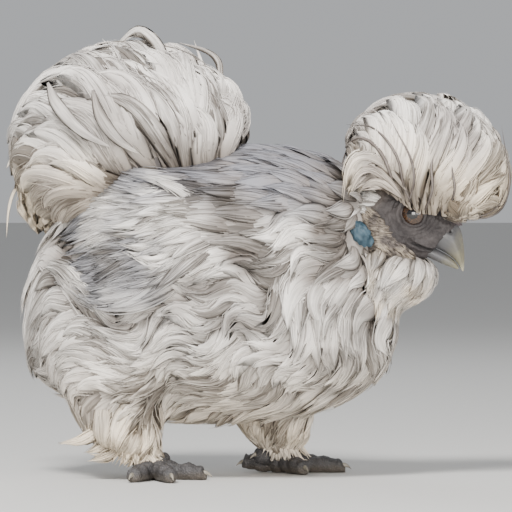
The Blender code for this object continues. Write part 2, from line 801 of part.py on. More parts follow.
def head_pieces(grow):
    pieces = [head_loft(HEAD_STATIONS, 12, grow)]
    for sign in (-1.0, 1.0):
        pieces += [lid_ring(sign, grow), brow_fold(sign, grow)]
    return pieces


def nostril_cutters():
    return [ellipsoid(head_place(29.5, s * 8.9, 11.5), (2.4, 1.6, 1.2), 0.0, 6, 8) for s in (-1.0, 1.0)]


def comb_pieces(grow):
    """A low cushion of small knobs at the foot of the crest."""
    draw = random.Random(SEEDS["comb"])
    along, crown = head_axes()
    axes = (along, LEFT, crown)
    pieces = [ellipsoid(head_place(24.0, 0.0, 22.0), (7.5, 6.5, 4.0), grow, 4, 10, axes)]
    for forward, across, lift in (
        (28.6, 0.0, 22.8),
        (25.5, 5.0, 22.6),
        (25.5, -5.0, 22.6),
        (23.5, 0.2, 25.0),
    ):
        size = draw.uniform(3.0, 3.6)
        pieces.append(ellipsoid(head_place(forward, across, lift), (size, size, size), grow, 4, 6, axes))
    return pieces


# From pieces to nodes


def mesh_object(name, piece, collection):
    points, faces = piece
    mesh = bpy.data.meshes.new(name)
    mesh.from_pydata((np.asarray(points) * MM).tolist(), [], faces)
    shape = bmesh.new()
    shape.from_mesh(mesh)
    bmesh.ops.recalc_face_normals(shape, faces=shape.faces)
    bmesh.ops.triangulate(shape, faces=[f for f in shape.faces if len(f.verts) > 4])
    if shape.calc_volume(signed=True) < 0:
        bmesh.ops.reverse_faces(shape, faces=shape.faces)
    shape.to_mesh(mesh)
    shape.free()
    made = bpy.data.objects.new(name, mesh)
    collection.objects.link(made)
    return made


def apply_boolean(base, pieces, operation):
    """Joins or cuts base with all the pieces at once, and removes them.

    The pieces are many, thin and closed, and the exact solver is too slow on them.
    """
    if not pieces:
        return
    helpers = bpy.data.collections.new("cutters_and_joiners")
    helpers.hide_render = True
    bpy.context.scene.collection.children.link(helpers)
    for index, piece in enumerate(pieces):
        helper = mesh_object(f"helper_{index}", piece, helpers)
        helper.hide_render = True
        helper.display_type = "WIRE"
    modifier = base.modifiers.new("Join", "BOOLEAN")
    modifier.operation = operation
    modifier.operand_type = "COLLECTION"
    modifier.collection = helpers
    modifier.solver = "MANIFOLD"
    bpy.context.view_layer.update()
    graph = bpy.context.evaluated_depsgraph_get()
    joined = bpy.data.meshes.new_from_object(base.evaluated_get(graph))
    base.modifiers.clear()
    old = base.data
    base.data = joined
    bpy.data.meshes.remove(old)
    for helper in list(helpers.objects):
        mesh = helper.data
        bpy.data.objects.remove(helper)
        bpy.data.meshes.remove(mesh)
    bpy.data.collections.remove(helpers)


def keep_largest(base):
    """Drops every closed surface but the one with the most volume."""
    shape = bmesh.new()
    shape.from_mesh(base.data)
    bmesh.ops.remove_doubles(shape, verts=shape.verts, dist=1e-7)
    unseen, shells = set(shape.faces), []
    while unseen:
        todo, shell = [unseen.pop()], []
        while todo:
            face = todo.pop()
            shell.append(face)
            for edge in face.edges:
                for other in edge.link_faces:
                    if other in unseen:
                        unseen.remove(other)
                        todo.append(other)
        shells.append(shell)

    def volume(shell):
        total = 0.0
        for face in shell:
            corners = [v.co for v in face.verts]
            for k in range(1, len(corners) - 1):
                total += corners[0].dot(corners[k].cross(corners[k + 1])) / 6.0
        return total

    shells.sort(key=volume, reverse=True)
    lost = [face for shell in shells[1:] for face in shell]
    bmesh.ops.delete(shape, geom=lost, context="FACES")
    bmesh.ops.dissolve_limit(shape, angle_limit=math.radians(0.3), verts=shape.verts, edges=shape.edges)
    bmesh.ops.triangulate(shape, faces=shape.faces)
    shape.to_mesh(base.data)
    shape.free()


def material(name):
    made = bpy.data.materials.get(name)
    if made:
        return made
    made = bpy.data.materials.new(name)
    made.use_nodes = True
    shader = made.node_tree.nodes["Principled BSDF"]
    shader.inputs["Base Color"].default_value = COLOURS[name]
    shader.inputs["Roughness"].default_value = ROUGHNESS.get(name, 0.85)
    shader.inputs["Metallic"].default_value = 0.0
    return made


def floor_cutter():
    """All that lies under the floor."""
    return box((0.0, 0.0, -20.0), (600.0, 600.0, 40.0))


class Bird:
    """The nodes made so far. Each takes the space that no earlier node has claimed."""

    def __init__(self):
        self.collection = bpy.data.collections.new("silkie_chicken")
        bpy.context.scene.collection.children.link(self.collection)
        self.figure = bpy.data.objects.new("silkie_chicken_figure", None)
        self.collection.objects.link(self.figure)
        self.claimed = []

    def add(self, name, material_name, pieces, cutters=()):
        """pieces(grow) returns the node's closed pieces, grown by that much; the first is its core."""
        made = pieces(0.0)
        base = mesh_object(name, made[0], self.collection)
        apply_boolean(base, made[1:], "UNION")
        low, high = bounds(made)
        away = list(cutters)
        for grown in self.claimed:
            for piece in grown:
                piece_low, piece_high = bounds([piece])
                if np.all(piece_low < high) and np.all(low < piece_high):
                    away.append(piece)
        apply_boolean(base, away, "DIFFERENCE")
        keep_largest(base)
        base.data.name = name
        base.data.materials.clear()
        base.data.materials.append(material(material_name))
        base.data.shade_smooth()
        base.data.set_sharp_from_angle(angle=SMOOTH_BELOW)
        self.set_down(base)
        self.claimed.append(pieces(GAP))

    def set_down(self, base):
        """Gives the node its own middle as origin, and hangs it on the figure."""
        corners = [Vector(corner) for corner in base.bound_box]
        middle = sum(corners, Vector()) / 8.0
        base.data.transform(Matrix.Translation(-middle))
        base.location = middle
        base.parent = self.figure


def bounds(pieces):
    points = np.concatenate([points for points, _ in pieces])
    return points.min(axis=0), points.max(axis=0)


def fountain_pieces(ball, coat, root, grow):
    """The core low in the ball of a fountain, and its feathers."""
    low = Globe(ball.centre, ball.reach, 0.0)
    low.axes = ball.axes
    low.centre = ball.centre + (np.array(root) - ball.centre) * (1.0 - FOUNTAIN_CORE) * 0.5
    return [low.piece(FOUNTAIN_CORE, grow, 6, 10)] + vane_pieces(coat, grow)


def build():
    for old in list(bpy.data.objects):
        bpy.data.objects.remove(old)
    draws = {name: random.Random(seed) for name, seed in SEEDS.items()}
    bird = Bird()
    signs = {"right": -1.0, "left": 1.0}
    nostrils = nostril_cutters()
    floor = [floor_cutter()]

    for side, sign in signs.items():
        bird.add(f"eye_{side}", "eye", lambda g, s=sign: [eye_piece(s, g)])
        bird.add(f"earlobe_{side}", "earlobe", lambda g, s=sign: [lobe_piece(s, g)])
    bird.add("bill_upper", "bill_horn", lambda g: [head_loft(UPPER_BILL_STATIONS, 10, g)], nostrils)
    bird.add("bill_lower", "bill_horn", lambda g: [head_loft(LOWER_BILL_STATIONS, 10, g)])
    bird.add("head", "face_skin", head_pieces, nostrils)
    bird.add("comb", "comb", comb_pieces)

    crest_ball = Globe(**CREST)
    crest = fountain_locks(draws["crest"], crest_ball, CREST_ROOT, CREST_TIERS, CREST_DROOP)
    bird.add("crest", "plumage", lambda g: fountain_pieces(crest_ball, crest, CREST_ROOT, g))
    beard = beard_locks(draws["beard"])
    beard_core = [r - COAT_ON_BEARD for r in BEARD_RADII]
    bird.add("beard", "plumage", lambda g: [ellipsoid(BEARD_CENTRE, beard_core, g)] + lock_pieces(beard, g))
    neck = neck_locks(draws["neck"])
    bird.add("neck", "plumage", lambda g: [neck_core(COAT_ON_NECK, g)] + lock_pieces(neck, g))
    for side in signs:
        bird.add(f"foot_{side}", "foot_skin", lambda g, s=side: foot_pieces(s, g), floor)
        for name in TOES:
            bird.add(f"claw_{side}_{name}", "claw", lambda g, s=side, n=name: [claw_piece(s, n, g)], floor)
    for side in signs:
        coat = leg_locks(draws["legs"], side)
        bird.add(
            f"leg_{side}", "leg_plumage", lambda g, s=side, c=coat: [leg_core(s, COAT_ON_LEG, g)] + lock_pieces(c, g)
        )
    for side in signs:
        coat = wing_locks(draws["wings"], side)
        bird.add(f"wing_{side}", "plumage", lambda g, s=side, c=coat: [wing_core(s, g)] + vane_pieces(c, g))
    tail_ball = Globe(**TAIL)
    tail = fountain_locks(draws["tail"], tail_ball, TAIL_ROOT, TAIL_TIERS, TAIL_DROOP)
    bird.add("tail", "plumage", lambda g: fountain_pieces(tail_ball, tail, TAIL_ROOT, g))
    torso = torso_locks(draws["torso"])
    bird.add("torso", "plumage", lambda g: [torso_core(COAT_ON_TORSO, 8, 12)] + lock_pieces(torso, g))


build()
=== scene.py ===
"""Dresses the solids of a life-size silkie chicken with skin, plumage, face, feet and a plain studio."""

import math

import bpy
import numpy as np
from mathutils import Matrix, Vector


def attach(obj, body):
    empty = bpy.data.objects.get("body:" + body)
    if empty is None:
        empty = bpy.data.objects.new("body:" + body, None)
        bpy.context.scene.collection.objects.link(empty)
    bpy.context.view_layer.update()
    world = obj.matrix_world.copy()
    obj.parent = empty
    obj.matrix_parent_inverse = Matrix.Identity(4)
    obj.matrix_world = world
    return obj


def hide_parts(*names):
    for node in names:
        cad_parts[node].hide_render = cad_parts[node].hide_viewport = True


bl_info = {
    "name": "Silkie Chicken Dresser",
    "version": (1, 0, 0),
    "blender": (4, 5, 0),
    "location": "3D View > Sidebar > Silkie",
    "description": "Builds the skin, plumage, face, bill, eyes and feet of a silkie chicken round its solids",
    "category": "Add Mesh",
}

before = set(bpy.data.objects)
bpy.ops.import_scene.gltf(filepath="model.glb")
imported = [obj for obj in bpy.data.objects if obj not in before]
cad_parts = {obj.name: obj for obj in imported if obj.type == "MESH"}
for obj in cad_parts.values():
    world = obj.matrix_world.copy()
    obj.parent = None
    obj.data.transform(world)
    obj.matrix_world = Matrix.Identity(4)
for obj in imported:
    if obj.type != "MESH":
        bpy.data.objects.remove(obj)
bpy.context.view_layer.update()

MM = 0.001
UP = np.array((0, 0, 1))
LEFT = np.array((0, 1, 0))
FORWARD = np.array((1, 0, 0))
SIDES = {"right": -1, "left": 1}
GOLDEN_ANGLE = 2.39996
GOLDEN_SHARE = 0.618034

# The forms, in millimetres, out to the tips of the coat
TORSO_MIDDLE = -31
TORSO_REACH = (134, 89, 95)
TORSO_HEIGHT = 134
COAT_ON_TORSO = 18
# How square the torso is, and how it narrows behind and in front
TORSO_POWER = 2.45
TORSO_TAPERS = (2.3, 1.75)
NECK_STATIONS = (
    # x, centre height, half width, half height
    (-32, 186, 52, 45),
    (6, 177, 66, 56),
    (42, 165, 62, 63),
    (66, 171, 44, 53),
    (84, 179, 27, 34),
)
COAT_ON_NECK = 14
# Where the cape's lower edge stands out over the breast: height = the first + the second * x, and how far
CAPE_FOLD = (150, -0.22, 0.3)
LEG_STATIONS = {
    # height, x, y, radius, depth of the coat
    "right": (
        (14, -72, -45, 9.5, 3),
        (26, -86, -45, 24, 12),
        (40, -93, -43, 28, 14),
        (60, -99, -41, 32, 16),
        (96, -104, -36, 32, 16),
    ),
    "left": (
        (14, 13, 42, 9.5, 3),
        (24, 11, 42, 22, 11),
        (34, 7, 41, 27, 13),
        (52, 2, 39, 32, 16),
        (90, 0, 36, 32, 16),
    ),
}
BLEND = 0.35
ROUND = (1, 1, 1)
WAVE_LENGTH = 58

# Head, in its own axes: along the bill, across, and up through the crown
HEAD_CENTRE = np.array((108.6, 0, 184.4))
HEAD_PITCH = math.radians(-42)
ALONG = np.array((math.cos(HEAD_PITCH), 0, math.sin(HEAD_PITCH)))
CROWN = np.cross(ALONG, LEFT)
HEAD_AXES = np.array((ALONG, LEFT, CROWN))
HEAD_STATIONS = (
    # forward, top, bottom, half width
    (-36, -3, -14, 6),
    (-32, 6, -24, 14.5),
    (-22, 16, -33, 20),
    (-10, 22.5, -38, 21.5),
    (2, 24.5, -39, 20.5),
    (12, 24, -34, 17.5),
    (20, 22.5, -28, 14),
    (26, 21, -19.5, 11),
    (29, 19, -12.5, 9.4),
)
UPPER_BILL = (
    (23, 18.5, -4.2, 8.6),
    (29.5, 20.4, -2.2, 8.8),
    (35, 18.6, -0.6, 7.9),
    (41, 14, 0.4, 6.3),
    (46.5, 9, 0.3, 4.7),
    (50.5, 4.6, -0.6, 3),
    (53.6, 0.8, -1.6, 1.3),
    (54.9, -0.9, -1.7, 0.5),
)
LOWER_BILL = (
    (18, -6.2, -13, 8),
    (26, -3.7, -11.8, 8),
    (34, -1.4, -9.6, 6.9),
    (41, -0.1, -7.4, 5.3),
    (47, -0.3, -5, 3.2),
    (51, -1.6, -3.2, 1.2),
)
EYE_PLACE = (2.4, 16.2, 6.3)
EYE_RADII = (9.2, 5.2)
LID_RADIUS = 8.9
NOSTRIL = (28.8, 13.6)
MOUTH = ((14, -9.4), (30, -3.2))
LOBE_PLACE = (78.6, 26, 173.2)
LOBE_RADII = (10.8, 6.2, 3.4)

# Crest and tail: each a fountain that fills a ball. reach is ahead, across, above, below
CREST = {"centre": (122, 0, 220), "reach": (62, 51, 53, 32), "pitch": -23}
TAIL = {"centre": (-93, 0, 237), "reach": (87, 62, 72, 72), "pitch": 0}
BEARD_CENTRE = (104, 0, 146.5)
BEARD_RADII = (27.5, 30, 26.5)

# Folded wings: an egg laid on each flank, given as it looks from the side
WING_CENTRE = (-76, 168)
WING_TILT = math.radians(13)
WING_HALF_LENGTH = 60
WING_DEPTHS = (50, 26)

# Feet: where each foot's toes spring from, and which way its middle toe points
FEET = {
    "right": {"hub": (-66, -45), "heading": -66, "shin": (-86, -45, 26)},
    "left": {"hub": (12, 42), "heading": 4, "shin": (11, 42, 24)},
}
HUB_HEIGHT = 9
TOE_RADIUS = 6.7
TOES = {
    # name: turn from the middle toe towards the midline, length, tip height, scutes
    "inner": (58, 38, 4.6, 11),
    "middle": (0, 47, 4.8, 14),
    "outer": (-38, 41, 4.6, 12),
    "hind": (184, 28, 4.4, 8),
    "fifth": (146, 21, 13, 7),
}
CLAW_LENGTH = 5
CLAW_RADIUS = 2.3

# The camera: where the photograph was taken from
VIEW_TURN = math.radians(8)
VIEW_RISE = math.radians(0.8)
VIEW_AIM = (0, 0, 0.15714)
VIEW_DISTANCE = 3
# Points of the photograph for a millimetre, its middle column and its lowest row of floor
PHOTO_SCALE = 1.4
PHOTO_MIDDLE = 256
PHOTO_FLOOR = 476
SENSOR = 36
LENS = 295.3


# Arithmetic on arrays of places


def unit(vectors):
    """Each vector divided by its length."""
    return vectors / np.maximum(np.linalg.norm(vectors, axis=-1, keepdims=True), 1e-9)


def kept(values):
    """Values kept from 0 to 1."""
    return np.clip(values, 0, 1)


def mirrored(places, sign):
    """Places or ways on the left side, or the same on the right side."""
    return places * np.array((1, sign, 1))


def ease(low, high, values):
    """0 up to low, 1 from high on, and a smooth S between them."""
    t = kept((values - low) / (high - low))
    return t * t * (3 - 2 * t)


def bell(values, width):
    """1 at nought, falling off on both sides as a bell of this width."""
    return np.exp(-((values / width) ** 2))


def ripple(places, size, seed):
    """A smooth random height from about -1 to 1: nine sine waves whose crests lie about size apart."""
    draw = np.random.default_rng(seed)
    waves = unit(draw.normal(size=(9, 3))) * (2 * np.pi / size) * draw.uniform(0.6, 1.5, (9, 1))
    return np.sin(places @ waves.T + draw.uniform(0, 2 * np.pi, 9)).sum(-1) / 3


def through(stations, at):
    """The other columns of stations where the first is at: cubic curves that pass through each row."""
    table = np.asarray(stations, float)
    known, values = table[:, 0], table[:, 1:]
    slopes = np.gradient(values, known, axis=0)
    at = np.clip(at, known[0], known[-1])
    k = np.clip(np.searchsorted(known, at) - 1, 0, len(known) - 2)
    step = (known[k + 1] - known[k])[..., None]
    t = ((at - known[k])[..., None]) / step
    low, high = values[k], values[k + 1]
    curve = (2 * t**3 - 3 * t**2 + 1) * low + (3 * t**2 - 2 * t**3) * high
    curve = curve + step * ((t**3 - 2 * t**2 + t) * slopes[k] + (t**3 - t**2) * slopes[k + 1])
    return np.moveaxis(curve, -1, 0)


def turned(vectors, axes, angles):
    """Each vector turned about the axis that it's square to."""
    return vectors * np.cos(angles)[..., None] + np.cross(axes, vectors) * np.sin(angles)[..., None]


def laid(ways, normals):
    """Each way pressed flat on the surface that has this normal."""
    return unit(ways - normals * (ways * normals).sum(-1)[..., None])


def bowed(share):
    """A quarter of a sine wave: 0 at nought, 1 at one, and level from there on."""
    return np.sin(np.pi / 2 * np.minimum(share, 1))


def circle(sides):
    """Even angles round a circle."""
    return np.linspace(0, 2 * np.pi, sides, endpoint=False)


def globe(rows, sides, edge=0.05):
    """The ways from a ball's middle to a grid of rings on it, from near one pole to near the other."""
    polar, turn = np.linspace(edge, np.pi - edge, rows)[:, None], circle(sides)[None]
    flat = np.sin(polar)
    return np.stack((flat * np.cos(turn), flat * np.sin(turn), np.cos(polar) + 0 * turn), -1)


def on_head(forward, across, up):
    """Places given in the head's own axes."""
    return HEAD_CENTRE + np.stack((forward, across, up), -1) @ HEAD_AXES


# The body's forms as one smooth depth


def torso_middle(u):
    """The height of the torso's middle line, which drops behind and in front."""
    return TORSO_HEIGHT - 50 * np.minimum(0, u + 0.3) ** 2 - 60 * np.maximum(0, u - 0.6) ** 2


def torso_cover(places):
    """How far outside the tips of the torso's coat a place is, as a share of the coat's depth.

    The torso is a rounded egg: |u|^power + q^power = 1, where u runs along it and q is the distance
    from its middle line as a share of its half width and half height, which shrink in front.
    """
    x, y, z = np.moveaxis(places, -1, 0)
    u = (x - TORSO_MIDDLE) / TORSO_REACH[0]
    middle = torso_middle(u)
    near = np.clip(np.abs(u), 0, 0.97)
    power = np.where(u < 0, *TORSO_TAPERS)
    slim = (1 - near**power) ** (1 / power) / (1 - near**TORSO_POWER) ** (1 / TORSO_POWER)
    wide = TORSO_REACH[1] * np.clip(slim, 0.62, 1)
    tall = TORSO_REACH[2] + 3 * u
    q = np.hypot(y / wide, (z - middle) / tall)
    size = np.maximum((np.abs(u) ** TORSO_POWER + q**TORSO_POWER) ** (1 / TORSO_POWER), 0.2)
    away = np.sqrt((x - TORSO_MIDDLE) ** 2 + y**2 + (z - middle) ** 2)
    return away * (1 - 1 / size) / COAT_ON_TORSO


def neck_cover(places):
    """The same for the neck and its cape: an oval tube along x with rounded ends."""
    x, y, z = np.moveaxis(places, -1, 0)
    held = np.clip(x, NECK_STATIONS[0][0], NECK_STATIONS[-1][0])
    middle, wide, high = through(NECK_STATIONS, held)
    q = np.sqrt((y / wide) ** 2 + ((z - middle) / high) ** 2 + ((x - held) / (0.45 * high)) ** 2)
    return (q - 1) * 0.5 * (wide + high) / COAT_ON_NECK


def leg_cover(places, side):
    """The same for a feathered leg: a round tube along its height."""
    x, y, z = np.moveaxis(places, -1, 0)
    stations = LEG_STATIONS[side]
    held = np.clip(z, stations[0][0], stations[-1][0])
    middle_x, middle_y, radius, depth = through(stations, held)
    q = np.sqrt((x - middle_x) ** 2 + (y - middle_y) ** 2 + ((z - held) / 0.6) ** 2) / radius
    return (q - 1) * radius / depth


def blended(forms):
    """Depths that flow into one another: a soft least of them."""
    return -BLEND * np.log(sum(np.exp(-np.clip(form, -8, 40) / BLEND) for form in forms))


def cover(places):
    """The body's depth: -1 on its skin and 0 at the tips of its coat."""
    return blended([torso_cover(places), neck_cover(places), *(leg_cover(places, side) for side in SIDES)])


def slope(depth, places):
    """How fast a depth grows along each axis, from points half a millimetre to either side."""
    step = 0.5
    parts = [depth(places + axis * step) - depth(places - axis * step) for axis in np.eye(3)]
    return np.stack(parts, -1) / (2 * step)


def settle(depth, places, level, rounds=2):
    """Each place moved straight in or out until its depth is level."""
    for _ in range(rounds):
        grade = slope(depth, places)
        size = np.maximum((grade**2).sum(-1), 1e-4)
        push = (depth(places) - level) / size
        push = np.clip(push * np.sqrt(size), -12, 12) / np.sqrt(size)
        places = places - grade * push[..., None]
    return places


def wave_phase(places):
    """Where along its waves the coat is at a place: they follow each other down and back."""
    run = -0.85 * places[..., 0] - 0.5 * places[..., 2]
    return 2 * np.pi * run / WAVE_LENGTH + 1.5 * ripple(places, 90, 5)


def wave_strength(places):
    """How much the coat waves at a place: most on the flanks and the breast, least over the back."""
    x, _, z = np.moveaxis(places, -1, 0)
    calm = (0.16 + 0.84 * ease(200, 160, z)) * (1 - 0.6 * ease(72, 36, z))
    calm = calm * (1 - 0.3 * ease(-100, -135, x))
    calm = calm * (1 - 0.5 * ease(50, 85, x) * ease(130, 165, z))
    return calm * (1 - 0.7 * bell(x + 6, 26) * bell(z - 172, 34))


def body_lie(places, normals):
    """The way the coat lies: backwards along the back, down over the breast, flanks and rear, with
    slow bends that neighbouring feathers share."""
    x, y, z = np.moveaxis(places, -1, 0)
    front = kept((x - 5) / 75) * (1 - 0.72 * ease(155, 196, z))
    low = kept((140 - z) / 110)
    fall = np.radians(10 + 62 * front + 28 * low)
    fall = fall * (1 - 0.85 * np.maximum(0, normals[..., 2]))
    shank = ease(78, 40, z)
    fall = fall * (1 - shank) + np.radians(72) * shank
    apart = 0.12 * np.sign(y) * (1 - shank) * (1 - ease(0.2, 0.7, -normals[..., 0]))
    way = np.stack((-np.cos(fall), apart, -np.sin(fall)), -1)
    way = laid(way, normals)
    sizes, _ = settings()
    wave = sizes.wave_angle * wave_strength(places) * np.sin(wave_phase(places))
    loose = 0.35 + 0.65 * ease(215, 170, z)
    bend = np.radians(9) * ripple(places, 60, 7) + np.radians(6) * ripple(places, 30, 6)
    return turned(way, normals, bend * loose - wave * np.tanh(y / 15))


# Painted shade in the coat's hollows and under the wing's edges: centre, half sizes and strength, as they
# look from the side
PAINTED_SHADE_PATCHES = (
    ((-4, 182), (24, 30), 0.7),
    ((6, 154), (20, 12), 0.65),
    ((-22, 137), (22, 9), 0.5),
    ((-52, 122), (24, 8), 0.5),
    ((-2, 111), (26, 13), 0.8),
    ((-84, 115), (26, 9), 0.55),
    ((-112, 126), (14, 11), 0.55),
    ((-131, 152), (9, 20), 0.6),
    ((-54, 97), (34, 8), 0.12),
    ((-128, 92), (20, 8), 0.25),
    ((58, 174), (16, 20), 0.75),
    ((54, 148), (22, 12), 0.7),
    ((70, 122), (26, 9), 0.45),
    ((84, 106), (13, 18), 0.45),
    ((60, 82), (24, 13), 0.45),
    ((24, 90), (20, 9), 0.3),
    ((-66, 174), (34, 6), 0.25),
)


# Ways to make a mesh


def ring_quads(ids):
    """The faces between each ring of a grid of point numbers and the next one."""
    near = np.roll(ids, -1, 1)
    return np.stack((ids[:-1], near[:-1], near[1:], ids[1:]), -1).reshape(-1, 4)


def sleeve(points):
    """A closed skin over a grid of rings, with a pole in the middle of each end ring."""
    rows, sides = points.shape[:2]
    ids = np.arange(rows * sides).reshape(rows, sides)
    near = np.roll(ids, -1, 1)
    poles = np.full(sides, rows * sides)
    start = np.stack((near[0], ids[0], poles), -1)
    end = np.stack((ids[-1], near[-1], poles + 1), -1)
    ends = points[[0, -1]].mean(1)
    return np.concatenate((points.reshape(-1, 3), ends)), ring_quads(ids), np.concatenate((start, end))


def hoop(points):
    """A skin over a grid that closes on itself both ways, as a ring does."""
    rows, sides = points.shape[:2]
    ids = np.arange(rows * sides).reshape(rows, sides)
    on, near = np.roll(ids, -1, 0), np.roll(ids, -1, 1)
    diagonal = np.roll(on, -1, 1)
    quads = np.stack((ids, near, diagonal, on), -1).reshape(-1, 4)
    return points.reshape(-1, 3), quads, np.zeros((0, 3), int)


def joined(shapes):
    """Several (points, quads, triangles) as one."""
    points, quads, triangles, first = [], [], [], 0
    for shape in shapes:
        points.append(shape[0])
        quads.append(shape[1] + first)
        triangles.append(shape[2] + first)
        first += len(shape[0])
    return np.concatenate(points), np.concatenate(quads), np.concatenate(triangles)


def outward(shape):
    """The shape with its faces turned round if they enclose a negative volume."""
    points, quads, triangles = shape
    split = np.concatenate((quads[:, [0, 1, 2]], quads[:, [0, 2, 3]], triangles))
    corners = points[split] - points.mean(0)
    volume = np.einsum("ij,ij->i", corners[:, 0], np.cross(corners[:, 1], corners[:, 2])).sum()
    return shape if volume > 0 else (points, quads[:, ::-1], triangles[:, ::-1])


def grid_normals(points):
    """The outward way at each point of a grid of rings, from its neighbours on both lines."""
    around = np.roll(points, -1, 1) - np.roll(points, 1, 1)
    along = np.gradient(points, axis=0)
    return unit(np.cross(around, along))


def in_scene(name, data):
    """A new object in the scene."""
    made = bpy.data.objects.new(name, data)
    bpy.context.scene.collection.objects.link(made)
    return made


def piece(name, shape, material, replaces=(), values=None, maps=None):
    """A mesh in the scene: the shape in metres, with its values and UV maps, riding on the body."""
    points, quads, triangles = shape
    mesh = bpy.data.meshes.new(name)
    mesh.vertices.add(len(points))
    mesh.vertices.foreach_set("co", (points * MM).astype(np.float32).ravel())
    corners = np.concatenate((quads.ravel(), triangles.ravel())).astype(np.int32)
    starts = np.concatenate((np.arange(len(quads)) * 4, len(quads) * 4 + np.arange(len(triangles)) * 3))
    mesh.loops.add(len(corners))
    mesh.loops.foreach_set("vertex_index", corners)
    mesh.polygons.add(len(starts))
    mesh.polygons.foreach_set("loop_start", starts.astype(np.int32))
    for key, numbers in (values or {}).items():
        mesh.attributes.new(key, "FLOAT", "POINT").data.foreach_set("value", numbers.astype(np.float32))
    for key, spots in (maps or {}).items():
        mesh.uv_layers.new(name=key).data.foreach_set("uv", spots[corners].astype(np.float32).ravel())
    mesh.update(calc_edges=True)
    mesh.validate()
    mesh.shade_smooth()
    made = in_scene(name, mesh)
    mesh.materials.append(material)
    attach(made, "root")
    if replaces:
        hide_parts(*replaces)
    return made


# Feathers


# A strand's section, its width at the root, where it is widest and how it tapers from there
STRAND = ((-1, -0.22), (0, 0.42), (1, -0.22))
STRAND_ROOT = 0.55
STRAND_WIDEST = 0.35
STRAND_TAPER = 0.75
# How much of its guide a lock takes up; the rest is for the strands that reach past it
RUN = 0.84


def feathers(name, made, material, replaces=()):
    """One coat piece from several sets of feathers."""
    shape = joined([one[0] for one in made])
    values = {key: np.concatenate([one[1][key] for one in made]) for key in made[0][1]}
    maps = {key: np.concatenate([one[2][key] for one in made]) for key in made[0][2]}
    return piece(name, shape, material, replaces, values, maps)


def sampled(lines, at):
    """The places along each line at shares of its run."""
    steps = lines.shape[1] - 1
    place = kept(at) * steps
    k = np.minimum(place.astype(int), steps - 1)
    rest = (place - k)[..., None]
    who = np.arange(len(lines)).reshape(-1, *[1] * (at.ndim - 1))
    return lines[who, k] * (1 - rest) + lines[who, k + 1] * rest


def framed(paths, outwards):
    """The side and the outward way along each path, square to it and to each other."""
    tangent = unit(np.gradient(paths, axis=1))
    side = unit(np.cross(tangent, outwards))
    return side, np.cross(side, tangent)


def lock_width(share, root):
    """A lock's width along it: wider from its root to its middle, then narrower to its frayed end."""
    grow = root + (1 - root) * bowed(share / 0.42)
    return grow * (1 - 0.86 * ease(0.4, 1.1, share))


def numbered(shape, along, across, guides):
    """The values and maps of many feathers of one build: where each point lies along and across."""
    paths, _, widths, lots, patches = guides
    lengths = np.linalg.norm(np.diff(paths, axis=1), axis=-1).sum(1)
    count, per = along.shape
    wide = across * widths[:, None]
    values = {"along": along.ravel(), "across": np.tile(np.abs(across), count), "lot": np.repeat(lots, per)}
    strand = np.stack((wide + lots[:, None] * 977, along * lengths[:, None]), -1) * 0.1
    bake = patches[:, None] + 0.0015 * np.stack((np.clip(wide / widths.max(), -1, 1), along * 2 - 1), -1)
    maps = {"Strand": strand.reshape(-1, 2), "OFBake": kept(bake).reshape(-1, 2)}
    return shape, values, maps


def repeated(points, count, quads, triangles):
    """The faces of one feather repeated for each of the feathers that the points make up."""
    firsts = (np.arange(count) * (len(points) // count))[:, None, None]
    return outward((points, (quads + firsts).reshape(-1, 4), (triangles + firsts).reshape(-1, 3)))


def locks(draw, guides, columns=7, rows=12, dome=0.26, fray=0.075, point=0.3, root=0.5):
    """Broad thin locks along their guides, all at once.

    Each is a sheet whose section is a shallow dome with small random ridges. Its columns run to
    ends of their own, longest in the middle, so that it finishes in ragged points. It is closed by
    a keel underneath, which meets it at both edges.
    """
    paths, outwards, half, _, _ = guides
    count = len(paths)
    side, normal = framed(paths, outwards)
    across = np.linspace(-1, 1, columns)
    ends = 1 - point * across**2 + draw.normal(0, fray, (count, columns))
    share = np.linspace(0, 1, rows)[:, None] ** 0.9 * ends[:, None]
    at = share * RUN
    width = half[:, None, None] * lock_width(share, root)
    ridges = draw.normal(0, 0.045, (count, 1, columns)) * ease(0.1, 0.5, share)
    rise = dome * (1 - across**2) + ridges
    centre, sides, normals = (sampled(lines, at) for lines in (paths, side, normal))
    top = centre + sides * (width * across)[..., None] + normals * (width * rise)[..., None]
    middle = columns // 2
    thick = width[:, :, middle] * (0.3 * rise[:, :, middle] + 0.05)
    keel = top[:, :, middle] - normals[:, :, middle] * thick[..., None]
    points = np.concatenate((top, keel[:, :, None]), 2).reshape(-1, 3)
    around = columns + 1
    j = np.arange(columns - 1)
    cap = np.stack((j, j + 1, np.full(columns - 1, columns)), -1)
    triangles = np.concatenate((cap[:, ::-1], cap + (rows - 1) * around))
    shape = repeated(points, count, ring_quads(np.arange(rows * around).reshape(rows, around)), triangles)
    along = np.concatenate((share, share[:, :, middle : middle + 1]), 2).reshape(count, -1)
    return numbered(shape, along, np.tile(np.append(across, 0), rows), guides)


